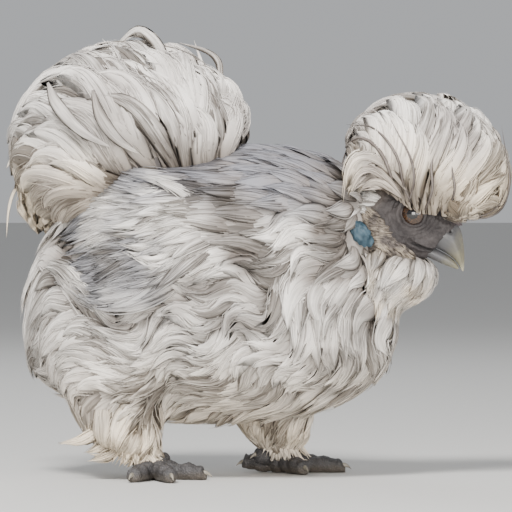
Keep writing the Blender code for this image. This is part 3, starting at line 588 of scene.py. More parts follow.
def strands(draw, guides, each, half_width, rows=7, dome=0.26, loose=0.1, begin=0.4, root=0.5, end=1):
    """Fine strands that follow each lock over its dome, and leave it at its edges and its end."""
    paths, outwards, half, lots, patches = guides
    who = np.repeat(np.arange(len(paths)), each)
    many = len(who)
    side, normal = framed(paths, outwards)
    lane = np.clip(draw.normal(0, 0.62, many), -1.25, 1.25)
    start = draw.uniform(0, begin, many)
    stop = draw.uniform(0.72, 1, many) * end
    t = np.linspace(0, 1, rows + 1)
    at = start[:, None] + (stop - start)[:, None] * t
    share = at / RUN
    width = half[who][:, None] * lock_width(share, root)
    phase, cycles = draw.uniform(0, 2 * np.pi, (many, 1)), draw.uniform(0.5, 1.2, (many, 1))
    sway = loose * np.sin(phase + 2 * np.pi * cycles * t) * t
    out_of_line = lane[:, None] * (1 + 0.25 * t**2) + sway * 1.6
    over = dome * (1 - np.minimum(lane**2, 1))[:, None] * width + 0.25 + half[who][:, None] * (
        draw.uniform(-0.05, 0.12, (many, 1)) * t**2 + 0.3 * sway
    )
    centre, sides, normals = (sampled(lines[who], at) for lines in (paths, side, normal))
    lines = centre + sides * (width * out_of_line)[..., None] + normals * over[..., None]
    shade = kept(lots[who] + draw.normal(0, 0.12, many))
    sizes = half_width * draw.uniform(0.7, 1.4, many)
    return blades((lines, normals, sizes, shade, patches[who]), start / RUN)


def blades(guides, first=0):
    """Thin tapered strands along their guides, all at once.

    Each ring is a shallow ridge, scaled by a width that grows as a sine from its root to one at its
    widest, then shrinks as a power of what is left; the last point is the tip. The root is capped.
    """
    paths, outwards, half_widths, _, _ = guides
    count, rows = paths.shape[:2]
    t = np.linspace(0, 1, rows)
    grow = STRAND_ROOT + (1 - STRAND_ROOT) * bowed(t / STRAND_WIDEST)
    shrink = np.maximum((1 - t) / (1 - STRAND_WIDEST), 0) ** STRAND_TAPER
    width = np.where(t < STRAND_WIDEST, grow, shrink)
    side, normal = framed(paths, outwards)
    across, rise = np.array(STRAND).T
    size = (half_widths[:, None] * width)[:, :-1, None, None]
    rings = paths[:, :-1, None] + size * (
        side[:, :-1, None] * across[:, None] + normal[:, :-1, None] * rise[:, None]
    )
    sides = len(STRAND)
    points = np.concatenate((rings.reshape(count, -1, 3), paths[:, -1:]), 1).reshape(-1, 3)
    ring = np.arange((rows - 1) * sides).reshape(rows - 1, sides)
    tip = np.stack((ring[-1], np.roll(ring[-1], -1), np.full(sides, ring.size)), -1)
    triangles = np.concatenate((tip, np.array(((0, 2, 1),))))
    shape = repeated(points, count, ring_quads(ring), triangles)
    begin = np.broadcast_to(first, count)[:, None]
    along = begin + (1 - begin) * np.append(np.repeat(t[:-1], sides), 1)
    return numbered(shape, along, np.append(np.tile(across * 0.6, rows - 1), 0), guides)


def unwrap(places, centre, reach):
    """Where a root lies on an unwrap of its form: round it, and from one end to the other."""
    inner = (places - np.array(centre)) / np.array(reach)
    around = np.arctan2(inner[..., 2], inner[..., 1]) / (2 * np.pi) + 0.5
    lengthwise = np.arctan2(inner[..., 0], np.hypot(inner[..., 1], inner[..., 2])) / np.pi + 0.5
    return np.stack((around, lengthwise), -1) * 0.98 + 0.01


def spread_over(mesh, count, draw, keep):
    """Places spread over a mesh's faces, in millimetres: even steps through its area in slices along
    x, then at random within each triangle that a step falls on."""
    mesh.calc_loop_triangles()
    points = np.empty(len(mesh.vertices) * 3, np.float32)
    mesh.vertices.foreach_get("co", points)
    corners = np.empty(len(mesh.loop_triangles) * 3, np.int32)
    mesh.loop_triangles.foreach_get("vertices", corners)
    tris = points.reshape(-1, 3)[corners.reshape(-1, 3)].astype(float) / MM
    middle = tris.mean(1)
    around = np.arctan2(middle[:, 2] - TORSO_HEIGHT, middle[:, 1])
    order = np.lexsort((around, np.floor(middle[:, 0] / 12)))
    tris, middle = tris[order], middle[order]
    area = np.linalg.norm(np.cross(tris[:, 1] - tris[:, 0], tris[:, 2] - tris[:, 0]), axis=1)
    total = np.cumsum(area * keep(middle))
    steps = (np.arange(count) + draw.uniform(0, 1, count)) / count * total[-1]
    picked = tris[np.clip(np.searchsorted(total, steps), 0, len(tris) - 1)]
    a, b = draw.uniform(0, 1, (2, count))
    flip = a + b > 1
    a, b = np.where(flip, 1 - a, a), np.where(flip, 1 - b, b)
    first, second, third = np.moveaxis(picked, 1, 0)
    return first + (second - first) * a[:, None] + (third - first) * b[:, None]


def spaced(places, gap, rounds):
    """Places on the body's skin pushed away from those nearer than gap, several times over."""
    for _ in range(rounds):
        away = places[:, None] - places[None]
        far = np.linalg.norm(away, axis=-1) + np.eye(len(places)) * 1e6
        push = kept(1 - far / gap) / far
        places = settle(cover, places + (away * push[..., None]).sum(1) * gap * 0.3, -1, 1)
    return places


def combed(depth, roots, lie, lengths, levels, bends):
    """Paths that start at roots and follow the lie, held at their own level above the skin.

    levels gives the level at each row of each path, -1 the skin and 0 the tips of the coat, and
    bends how far each row turns from the lie.
    """
    place = settle(depth, roots, levels[:, 0], 3)
    normal = unit(slope(depth, place))
    paths, normals = [place], [normal]
    rows = levels.shape[1]
    for k in range(1, rows):
        way = turned(laid(lie(place, normal), normal), normal, bends[:, k])
        place = settle(depth, place + way * (lengths / (rows - 1))[:, None], levels[:, k], 1)
        normal = unit(slope(depth, place))
        paths.append(place)
        normals.append(normal)
    return np.stack(paths, 1), np.stack(normals, 1)


class Ball:
    """A ball with its own reach ahead, across, above and below, pitched about its centre."""

    def __init__(self, centre, reach, pitch):
        self.centre = np.array(centre)
        self.reach = np.array(reach)
        cos, sin = math.cos(math.radians(pitch)), math.sin(math.radians(pitch))
        self.axes = np.array(((cos, 0, sin), (0, 1, 0), (-sin, 0, cos)))

    def radii(self, ways):
        ahead, across, above, below = self.reach
        tall = np.where(ways[..., 2] > 0, above, below)
        return np.stack((np.full_like(tall, ahead), np.full_like(tall, across), tall), -1)

    def place(self, ways, size):
        """The points that lie these ways, in the ball's own axes, at these shares of its reach."""
        return self.centre + (ways * self.radii(ways) * size[..., None]) @ self.axes

    def inner(self, places):
        """Places as shares of the ball's reach, in its own axes."""
        own = (places - self.centre) @ self.axes.T
        return own / self.radii(own)


def in_photo(across, down, depth=0):
    """The place at this spot of the photograph, this far left of the midline."""
    x = (across - PHOTO_MIDDLE) / PHOTO_SCALE - depth * math.tan(VIEW_TURN)
    return x, depth, (PHOTO_FLOOR - down) / PHOTO_SCALE


def carried_on(paths, extra=3):
    """Paths with a few more rows straight on from their ends, as locks stop at RUN of their guide."""
    steps = np.arange(1, extra + 1)[:, None]
    beyond = paths[:, -1:] + (paths[:, -1:] - paths[:, -2:-1]) * steps
    return np.concatenate((paths, beyond), 1)


def spray(ball, root_line, root_width, tips, rise, curl, begin, rows=15):
    """Guides for the plumes of a ball, drawn as they look from the side and laid on its shell.

    tips holds, for each plume, where on root_line it springs from, the angle and share of the
    ball's reach at which it ends, and its shell from -1, the right side, to 1, the left. Seen from
    the side each is a cubic curve that leaves at the angle rise and arrives turned by curl.
    """
    start, angle, reach, shell = tips
    known = np.linspace(0, 1, len(root_line))
    line = np.array([in_photo(*spot)[::2] for spot in root_line])
    first = through(np.column_stack((known, line)), start).T
    own = np.stack((np.cos(angle), 0 * angle, np.sin(angle)), -1)
    last = ball.place(own, reach)[:, ::2]
    chord = last - first
    length = np.linalg.norm(chord, axis=1, keepdims=True)
    leaving = np.stack((np.cos(rise), np.sin(rise)), -1)
    heading = np.arctan2(chord[:, 1], chord[:, 0]) + curl
    arriving = np.stack((np.cos(heading), np.sin(heading)), -1)
    second, third = first + leaving * length * 0.4, last - arriving * length * 0.36
    t = begin[:, None] + (1 - begin[:, None]) * np.linspace(0, 1, rows)
    t = t[..., None]
    flat = (
        first[:, None] * (1 - t) ** 3
        + second[:, None] * 3 * t * (1 - t) ** 2
        + third[:, None] * 3 * t**2 * (1 - t)
        + last[:, None] * t**3
    )
    places = np.stack((flat[..., 0], 0 * flat[..., 0], flat[..., 1]), -1)
    inner = ball.inner(places)
    share = kept(1 - inner[..., 0] ** 2 - inner[..., 2] ** 2) ** 0.5
    near = ease(0, 0.4, t[..., 0])
    places[..., 1] = shell[:, None] * (root_width * (1 - near) + ball.reach[1] * share * near)
    places = carried_on(places)
    out = ball.inner(places)
    out[..., 1] += 0.25 * np.sign(shell)[:, None]
    return places, unit((out / ball.radii(out)) @ ball.axes)


def on_ball(ball, across, down):
    """The place on a ball's near side that shows at this spot of the photograph."""
    depth = -0.5 * ball.reach[1]
    for _ in range(6):
        inner = ball.inner(np.array(in_photo(across, down, depth)))
        depth = -1.08 * ball.reach[1] * math.sqrt(max(0, 1 - inner[0] ** 2 - inner[2] ** 2))
    return in_photo(across, down, depth)


def placed_plumes(draw, plumes, ball, rows=15):
    """Guides for single plumes, given as a half width and spots of the photograph, which lie on the
    ball unless they have a depth of their own."""
    paths = []
    for _, spots in plumes:
        line = np.array([in_photo(*spot) if len(spot) == 3 else on_ball(ball, *spot) for spot in spots])
        known = np.linspace(0, 1, len(line))
        paths.append(through(np.column_stack((known, line)), np.linspace(0, 1, rows)).T)
    paths = carried_on(np.array(paths))
    outs = unit(ball.inner(paths) * np.array((0.4, 0.4, 0.4)) - LEFT * 0.9)
    patches = unwrap(paths[:, 0], ball.centre, ROUND)
    return paths, outs, np.array([half for half, _ in plumes]), draw.uniform(0.3, 0.8, len(paths)), patches


# Materials


def dimmed(colour, size):
    """A colour's numbers made lighter or darker."""
    return tuple(size * c for c in colour)


class Wire:
    """One output in a material, with arithmetic that adds Math nodes."""

    def __init__(self, paint, socket):
        self.paint = paint
        self.socket = socket

    def maths(self, operation, *others):
        return self.paint.node("ShaderNodeMath", {"operation": operation}, dict(enumerate(others)))

    def __add__(self, other):
        return self.maths("ADD", self, other)

    def __sub__(self, other):
        return self.maths("SUBTRACT", self, other)

    def __rsub__(self, other):
        return self.maths("SUBTRACT", other, self)

    def __mul__(self, other):
        return self.maths("MULTIPLY", self, other)

    def __truediv__(self, other):
        return self.maths("DIVIDE", self, other)

    def __abs__(self):
        return self.maths("ABSOLUTE", self)

    __radd__ = __add__
    __rmul__ = __mul__

    def between(self, low, high):
        """0 up to low, 1 from high on, and a smooth S between them; low may be the larger."""
        falls = low > high
        sockets = {0: self, 1: min(low, high), 2: max(low, high), 3: float(falls), 4: float(not falls)}
        return self.paint.node("ShaderNodeMapRange", {"interpolation_type": "SMOOTHSTEP"}, sockets)

    def held(self):
        """The value kept from 0 to 1."""
        return self.paint.node("ShaderNodeClamp", {}, {0: self})


class Paint:
    """A material as it's made."""

    def __init__(self, name):
        self.material = bpy.data.materials.new(name)
        self.material.use_nodes = True
        self.tree = self.material.node_tree
        self.tree.nodes.clear()

    def node(self, kind, settings, sockets, out=0):
        """Any node: its settings first, then the values or links of its sockets."""
        made = self.tree.nodes.new(kind)
        for key, value in settings.items():
            setattr(made, key, value)
        for key, value in sockets.items():
            if isinstance(value, Wire):
                self.tree.links.new(value.socket, made.inputs[key])
            elif made.inputs[key].type == "RGBA":
                made.inputs[key].default_value = (*value, 1)
            else:
                made.inputs[key].default_value = value
        return Wire(self, made.outputs[out]) if made.outputs else made

    def mix(self, share, first, second, blend="MIX"):
        """Two colours mixed by a share."""
        settings = {"data_type": "RGBA", "blend_type": blend}
        return self.node("ShaderNodeMix", settings, {0: share, 6: first, 7: second}, 2)

    def scaled(self, colour, size):
        """A colour made lighter or darker."""
        return self.node("ShaderNodeVectorMath", {"operation": "SCALE"}, {0: colour, 3: size})

    def value(self, name):
        """A value that each point of the mesh carries."""
        return self.node("ShaderNodeAttribute", {"attribute_name": name}, {}, 2)

    def place(self):
        """The place on the model, in metres."""
        return self.node("ShaderNodeTexCoord", {}, {}, 3)

    def head_parts(self):
        """How far along the bill's axis and up through the crown a place lies, in metres."""
        x, _, z = self.parts(self.place())
        x, z = x - float(HEAD_CENTRE[0] * MM), z - float(HEAD_CENTRE[2] * MM)
        return [x * float(way[0]) + z * float(way[2]) for way in (ALONG, CROWN)]

    def parts(self, vector):
        """A vector's three numbers."""
        made = self.node("ShaderNodeSeparateXYZ", {}, {0: vector})
        outputs = made.socket.node.outputs
        return [Wire(self, outputs[k]) for k in range(3)]

    def vector(self, x, y, z):
        return self.node("ShaderNodeCombineXYZ", {}, {0: x, 1: y, 2: z})

    def noise(self, vector, scale, detail=2, roughness=0.5):
        sockets = {"Vector": vector, "Scale": scale, "Detail": detail, "Roughness": roughness}
        return self.node("ShaderNodeTexNoise", {}, sockets)

    def cells(self, vector, scale, feature="F1", randomness=1):
        sockets = {"Vector": vector, "Scale": scale, "Randomness": randomness}
        return self.node("ShaderNodeTexVoronoi", {"feature": feature}, sockets)

    def bump(self, height, strength, distance, normal=None):
        sockets = {"Height": height, "Strength": strength, "Distance": distance}
        if normal is not None:
            sockets["Normal"] = normal
        return self.node("ShaderNodeBump", {}, sockets)

    def finish(self, colour, roughness, normal=None, **constants):
        """The shader and the output."""
        sockets = {"Base Color": colour, "Roughness": roughness}
        if normal is not None:
            sockets["Normal"] = normal
        for key, value in constants.items():
            sockets[key.replace("_", " ")] = value
        shader = self.node("ShaderNodeBsdfPrincipled", {}, sockets)
        self.node("ShaderNodeOutputMaterial", {}, {0: shader})
        return self.material


def plumage_tint(paint, colours):
    """The coat's colour by its place on the bird: white on the sides, painted cool shade over the back,
    cream below that is partly painted warm shade, and painted warm grey shade in the hollows and in
    streaks that both sides have."""
    place = paint.place()
    x, _, z = paint.parts(place)
    cloud = paint.noise(place, 17, 2)
    height = z + (cloud - 0.5) * 0.05
    # Cream low down: partly the coat's own tone, partly painted warm shade
    tint = paint.mix(height.between(-0.01, 0.115), colours.cream, colours.white)
    # The back mask: painted cool shade over the back
    back = height.between(0.172, 0.212) * (1 - x.between(0.05, 0.09)) * x.between(-0.14, -0.09)
    tint = paint.mix(back * 0.92, tint, colours.cool_back_shade)
    # dark gathers painted warm grey shade in the hollows and under the wing's edges; streak adds painted
    # shade in streaks
    dark = 0
    for (middle_x, middle_z), (long, high), strength in PAINTED_SHADE_PATCHES:
        far_x, far_z = (x - middle_x * MM) / (long * MM), (z - middle_z * MM) / (high * MM)
        far = far_x * far_x + far_z * far_z + (cloud - 0.5) * 1.6
        dark = far.between(1.2, 0) * strength + dark
    streak = paint.noise(place, 30, 2).between(0.52, 0.7) * 0.35
    return paint.mix((dark + streak).held(), tint, colours.hollow_shade)


def plumage(name, colours, tint=None, undercolour_and_shade=0.85, root_end=0.92, depth=1, edges=0.3):
    """Silky feather: fine strands along each lock, which is darker at its root, for its grey undercolour
    and for painted shade, darker at its edges with painted shade, and pale along its middle and at its
    tip; its darker tones are painted warmer as warm shade. depth scales how much the locks differ."""
    paint = Paint(name)
    base = plumage_tint(paint, colours) if tint is None else tint(paint)
    along, across, lot = paint.value("along"), paint.value("across"), paint.value("lot")
    strand = paint.node("ShaderNodeUVMap", {"uv_map": "Strand"}, {})
    u, v, _ = paint.parts(strand)
    fine = paint.noise(paint.vector(u * 13, v * 0.6, lot * 37), 1, 2)
    broad = paint.noise(paint.vector(u * 5.5, v * 0.35, lot * 91), 1, 1)
    # Roots darker: the grey undercolour and painted shade among the roots
    root = (1 - along.between(0.05, root_end)) * undercolour_and_shade
    shade = paint.mix(root, base, colours.undercoat)
    # The lock's sides painted darker: painted shade on each rounded lock
    edge = across.between(0.45, 1.05)
    light = 0.95 + (fine - 0.5) * 0.75 + (broad - 0.5) * (1.35 * depth)
    light = light + (lot - 0.64) * (1.1 * depth) - edge * (edges * depth)
    shade = paint.scaled(shade, paint.node("ShaderNodeClamp", {}, {0: light, 1: 0.28, 2: 1.1}))
    # The darker tones turned warmer: painted warm shade
    warm = paint.mix((0.75 - light).held() * 0.9, shade, paint.mix(1, shade, (1, 0.9, 0.8), "MULTIPLY"))
    normal = paint.bump(fine * 0.5 + broad * 0.9, 0.5, 0.0007)
    return paint.finish(warm, 0.58, normal, Specular_IOR_Level=0.3)


def solid_tint(colour, other, size, share=0.5):
    """A plumage colour that drifts between two."""

    def tint(paint):
        cloud = paint.noise(paint.place(), size, 2).between(0.38, 0.66)
        return paint.mix(cloud * share, colour, other)

    return tint


def rising_tint(low, high, heights, shadow, size, share):
    """A plumage colour that turns from low to high as it rises, the low colour partly painted warm
    shade, with clouds of painted shadow.
    """

    def tint(paint):
        place = paint.place()
        _, _, z = paint.parts(place)
        cloud = paint.noise(place, size, 2)
        height = (z + (cloud - 0.5) * 0.03).between(*heights)
        return paint.mix(cloud.between(0.4, 0.66) * share, paint.mix(height, low, high), shadow)

    return tint


def feathered_skin(name, colours):
    """Skin in the coat's own colours, with the coat's painted shade, where feathers cover it."""
    paint = Paint(name)
    place = paint.place()
    shade = paint.mix(0.6, plumage_tint(paint, colours), colours.undercoat)
    return paint.finish(shade, 0.75, paint.bump(paint.noise(place, 260, 3), 0.5, 0.0006))


def face_finish(colours):
    """Bare skin: mulberry grey and pebbled, darker in its folds, with painted shade between the lips."""
    paint = Paint("face_skin")
    place = paint.place()
    pebble = paint.cells(place, 620, "F1")
    folds = paint.noise(place, 190, 4, 0.6)
    mottle = paint.noise(place, 70, 3)
    shade = paint.mix(mottle.between(0.35, 0.7), colours.face, colours.face_light)
    shade = paint.mix(folds.between(0.55, 0.75) * 0.5, shade, colours.face_dark)
    shade = paint.mix(pebble.between(0.5, 0) * 0.3, shade, colours.face_light)
    x, _, z = paint.parts(place)
    rear = (x * 0.743 - z * 0.669).between(-0.058, -0.072)
    shade = paint.mix(rear * 0.8, shade, colours.undercoat)
    # The mouth: a near-black line along the gap between the lips, painted shade
    forward, up = paint.head_parts()
    (first_x, first_y), (last_x, last_y) = MOUTH
    rise = (last_y - first_y) / (last_x - first_x)
    gap = abs(up - forward * rise - (first_y - first_x * rise - 1.2) * MM)
    mouth = gap.between(0.0012, 0.0004) * forward.between(first_x * MM, (first_x + 2) * MM)
    shade = paint.mix(mouth * 0.85, shade, (0.006, 0.005, 0.005))
    normal = paint.bump(pebble * -0.7 + folds * 1.1, 0.55, 0.0007)
    return paint.finish(shade, 0.5 + folds * 0.2, normal, Specular_IOR_Level=0.4)


# What a user can change


def colour_property(name, description, default):
    return bpy.props.FloatVectorProperty(
        name=name, description=description, default=default, subtype="COLOR", min=0, max=1
    )


class SilkieColours(bpy.types.PropertyGroup):
    white: colour_property("White", "Feather tips on the flanks, tail and crest", (0.80, 0.765, 0.725))
    bright: colour_property("Bright", "The palest strands", (0.93, 0.92, 0.90))
    cream: colour_property("Cream", "Feathers low on the body and on the legs", (0.78, 0.67, 0.52))
    # Painted cool shade over the back
    cool_back_shade: colour_property("Back grey", "The cool grey over the back", (0.175, 0.18, 0.215))
    # Painted warm grey shade for the coat's hollows
    hollow_shade: colour_property("Hollow", "The warm grey of the coat's hollows", (0.135, 0.117, 0.104))
    undercoat: colour_property("Undercoat", "The roots of the feathers", (0.22, 0.185, 0.16))
    shadow_grey: colour_property("Shadow grey", "Darker strands", (0.30, 0.265, 0.245))
    # Thin dark strands that paint the shadow lines between the crest's plumes
    shadow_strand: colour_property("Wisp", "The thin dark strands round the crest", (0.12, 0.10, 0.09))
    face: colour_property("Face", "Bare skin of the face", (0.034, 0.029, 0.030))
    face_light: colour_property("Pale face", "The raised parts of the face's skin", (0.075, 0.066, 0.066))
    face_dark: colour_property("Dark face", "The folds of the face's skin", (0.025, 0.02, 0.021))
    earlobe: colour_property("Earlobe", "The turquoise earlobe", (0.010, 0.037, 0.058))
    iris: colour_property("Iris", "The ring of the eye", (0.044, 0.021, 0.009))
    horn: colour_property("Horn", "The pale end of the bill", (0.205, 0.19, 0.13))
    horn_grey: colour_property("Grey horn", "The base of the bill", (0.105, 0.105, 0.11))
    foot: colour_property("Foot", "Slate scales on top of the toes", (0.036, 0.034, 0.035))
    sole: colour_property("Sole", "The underside of the toes", (0.10, 0.082, 0.064))
    claw: colour_property("Claw", "Pale claws", (0.26, 0.235, 0.19))
    floor: colour_property("Floor", "The studio's pale floor", (0.55, 0.545, 0.53))


def length_property(name, description, default):
    return bpy.props.FloatProperty(name=name, description=description, default=default, unit="LENGTH")


class SilkieSizes(bpy.types.PropertyGroup):
    lock_half_width: length_property("Lock half width", "Half the width of a lock of the coat", 0.0085)
    lock_length: length_property("Lock length", "Length of the locks on the flank", 0.055)
    strand_half_width: length_property("Strand half width", "Half the width of a single strand", 0.0006)
    wave_angle: bpy.props.FloatProperty(
        name="Wave",
        description="How far the flank's locks turn from their lie",
        default=math.radians(46),
        subtype="ANGLE",
    )
    skin_voxel: length_property("Skin detail", "Size of the faces of the body's skin", 0.003)


def settings():
    """The sizes and the colours of the add-on."""
    scene = bpy.context.scene
    return scene.silkie_sizes, scene.silkie_colours


# The pieces


def body_form():
    """Closed tubes for torso, neck and legs at the skin's depth, which overlap."""
    shapes = []
    angle = circle(48)
    ring = np.stack((np.zeros_like(angle), np.cos(angle), np.sin(angle)), -1)
    u = -np.cos(np.linspace(0.04, np.pi - 0.04, 40))
    reach = np.array(TORSO_REACH) - COAT_ON_TORSO
    middle = torso_middle(u)
    tall = (1 - np.abs(u) ** TORSO_POWER) ** (1 / TORSO_POWER)
    centre = np.stack((TORSO_MIDDLE + reach[0] * u, 0 * u, middle), -1)
    shapes.append(sleeve(centre[:, None] + ring * (tall[:, None] * reach)[:, None]))
    at = np.linspace(NECK_STATIONS[0][0], NECK_STATIONS[-1][0], 24)
    height, wide, high = through(NECK_STATIONS, at)
    centre = np.stack((at, 0 * at, height), -1)
    size = np.stack((at, wide - COAT_ON_NECK, high - COAT_ON_NECK), -1)
    shapes.append(sleeve(centre[:, None] + ring * size[:, None]))
    level = np.stack((np.cos(angle), np.sin(angle), np.zeros_like(angle)), -1)
    for stations in LEG_STATIONS.values():
        at = np.linspace(stations[0][0], stations[-1][0], 24)
        x, y, radius, depth = through(stations, at)
        centre = np.stack((x, y, at), -1)
        shapes.append(sleeve(centre[:, None] + level * (radius - depth)[:, None, None]))
    return joined([outward(shape) for shape in shapes])


class SILKIE_OT_body_skin(bpy.types.Operator):
    """One skin over torso, neck and legs: their tubes remeshed into one, then settled on the level
    where the forms flow together."""

    bl_idname = "silkie.body_skin"
    bl_label = "Body skin"

    def execute(self, context):
        sizes, colours = settings()
        points, quads, triangles = body_form()
        rough = bpy.data.meshes.new("body_form")
        rough.from_pydata((points * MM).tolist(), [], quads.tolist() + triangles.tolist())
        helper = in_scene("body_form", rough)
        remesh = helper.modifiers.new("one_skin", "REMESH")
        remesh.mode = "VOXEL"
        remesh.voxel_size = sizes.skin_voxel
        graph = bpy.context.evaluated_depsgraph_get()
        mesh = bpy.data.meshes.new_from_object(helper.evaluated_get(graph))
        bpy.data.objects.remove(helper)
        points = np.empty(len(mesh.vertices) * 3, np.float32)
        mesh.vertices.foreach_get("co", points)
        points = settle(cover, points.reshape(-1, 3).astype(float) / MM, -1, 3)
        mesh.vertices.foreach_set("co", (points * MM).astype(np.float32).ravel())
        mesh.update()
        mesh.shade_smooth()
        mesh.name = "body_skin"
        made = in_scene("body_skin", mesh)
        mesh.materials.clear()
        mesh.materials.append(feathered_skin("feathered_skin", colours))
        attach(made, "root")
        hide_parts("torso", "neck", "leg_right", "leg_left")
        return {"FINISHED"}


def from_head(places):
    """How far a root lies from the head, as a share of the head's own size."""
    inner = (places - HEAD_CENTRE) @ HEAD_AXES.T
    return np.linalg.norm((inner - np.array((-1, 0, -5))) / np.array((30, 40, 28)), axis=-1)


def clear_of_head(places):
    """0 where a root would lie in the head, beside the bare face or over the earlobe."""
    away = (places * np.array((1, 0, 1)) - np.array((80.5, 0, 174))) / np.array((9, 1, 10.5))
    return 0.0005 + 0.9995 * (from_head(places) > 0.9) * (np.linalg.norm(away, axis=-1) > 1)


def under_wing(places):
    """Whether a root lies where a wing covers it well inside its edge."""
    x, _, z = np.moveaxis(places, -1, 0)
    ahead, up = x - WING_CENTRE[0], z - WING_CENTRE[1]
    along = (ahead * math.cos(WING_TILT) + up * math.sin(WING_TILT)) / WING_HALF_LENGTH
    deep = -ahead * math.sin(WING_TILT) + up * math.cos(WING_TILT)
    rear, front = WING_DEPTHS
    over = deep / (rear + (front - rear) * (np.clip(along, -1, 1) + 1) / 2)
    return (over**2 + np.abs(along) ** 3 < 0.62) & (along < 0.3) & (np.abs(places[..., 1]) > 20)


LEG_AREAS = ("leg_plumage_right", "leg_plumage_left")
COAT_AREAS = ("cape", "breast", *LEG_AREAS, "back", "rump", "flank_right", "flank_left")


def coat_area(places):
    """The number in COAT_AREAS of the piece that a root belongs to."""
    x, y, z = np.moveaxis(places, -1, 0)
    return np.select(
        [
            (x > 15) & (z > 165),
            x > 38,
            (z < 62) & (y < 0) & (x < -55),
            (z < 62) & (y >= 0) & (x > -40),
            z > 190,
            x < -105,
            y < 0,
        ],
        [0, 1, 2, 3, 4, 5, 6],
        7,
    )


def coat_guides(roots, draw, half_width, high=0):
    """Guides for the locks of the body. Each follows the lie from its root, at first falling more
    steeply and then hooking up, as its neighbours do, and ends in the coat's outer layer."""
    sizes, _ = settings()
    count = len(roots)
    x, y, z = np.moveaxis(roots, -1, 0)
    near_head = ease(36, 80, x) * ease(120, 165, z)
    shank = ease(72, 36, z)
    beside = 0.45 + 0.55 * ease(1, 1.8, from_head(roots))
    full = sizes.lock_length / MM * (1 - 0.25 * near_head) * (1 - 0.36 * shank) * beside
    longer = 1 + 0.3 * bell(x + 4, 22) * bell(z - 184, 30)
    lengths = full * draw.uniform(0.85, 1.15, count) / RUN * longer
    rows = 16
    t = np.linspace(0, 1, rows)
    lift = high + 0.12 * ripple(roots, 66, 8) + 0.07 * ripple(roots, 34, 9)
    lift = lift + draw.uniform(-0.12, 0.04, count)
    shoulder = bell(x + 4, 20) * bell(z - 184, 30)
    lift = lift + 0.45 * shoulder
    fold_height, fold_slope, fold = CAPE_FOLD
    lift = lift - 0.1 * shank + fold * bell(z - fold_height - fold_slope * x, 10) * ease(15, 40, x)
    top = np.minimum(lift, high + 0.25 + 0.3 * shoulder)
    levels = -1 + (1 + top[:, None]) * bowed(t / 0.9) ** 0.75
    handed = -np.tanh(y / 15)
    swing = np.radians(20) * wave_strength(roots) * draw.uniform(0.4, 1.4, count)
    phase = draw.normal(0, 0.5, count)
    bends = (handed * swing)[:, None] * np.cos(np.pi * 1.9 * t + phase[:, None])
    bends = bends + draw.normal(0, 0.07, (count, 1))
    paths, normals = combed(cover, roots, body_lie, lengths, levels, bends)
    widths = half_width * draw.uniform(0.75, 1.25, count)
    widths = widths * (1 - 0.2 * near_head) * (1 - 0.25 * shank) * beside
    lots = 0.58 + 0.34 * ripple(roots, 50, 23)
    # Locks painted lighter on the crests of the coat's waves and darker in its troughs: painted light and
    # shade
    lots = lots + 0.2 * np.sin(wave_phase(paths[:, 9]) + 1) * wave_strength(roots)
    lots = kept(lots + draw.normal(0, 0.16, count))
    return paths, normals, widths, lots, unwrap(roots, (TORSO_MIDDLE, 0, TORSO_HEIGHT), (1.5, 1, 1))


def chosen(guides, picked):
    """The guides that are picked."""
    return tuple(values[picked] for values in guides)


class SILKIE_OT_coat(bpy.types.Operator):
    """The coat of the body in eight pieces: broad wavy locks, with fine strands over them."""

    bl_idname = "silkie.coat"
    bl_label = "Coat"

    def execute(self, context):
        sizes, colours = settings()
        mesh = bpy.data.objects["body_skin"].data
        draw = np.random.default_rng(11)
        half = sizes.lock_half_width / MM
        strand = sizes.strand_half_width / MM
        layers = []
        for count, gap, wide, high, columns, each in (
            (900, 15, 1.75, -0.3, 7, 0),
            (1250, 12, 1.12, 0, 7, 5),
            (480, 19, 0.66, 0.06, 5, 5),
        ):
            roots = spaced(spread_over(mesh, count, draw, clear_of_head), gap, 8)
            roots = roots[(clear_of_head(roots) > 0.5) & ~under_wing(roots)]
            guides = coat_guides(roots, draw, half * wide, high)
            # The under layer's locks painted darker: painted shade beneath the outer locks
            if each == 0:
                guides[3][:] = guides[3] * 0.55
            layers.append((coat_area(roots), guides, columns, each))
        material = plumage("silky_plumage", colours)
        leg = plumage("leg_plumage", colours, solid_tint(colours.cream, colours.white, 30, 0.3), 0.45)
        for number, area in enumerate(COAT_AREAS):
            made = []
            for areas, guides, columns, each in layers:
                here = chosen(guides, areas == number)
                if len(here[0]):
                    made.append(locks(draw, here, columns))
                if len(here[0]) and each:
                    made.append(strands(draw, here, each, strand))
            on_leg = area in LEG_AREAS
            name = area if on_leg else "coat_" + area
            feathers(name, made, leg if on_leg else material)
        return {"FINISHED"}


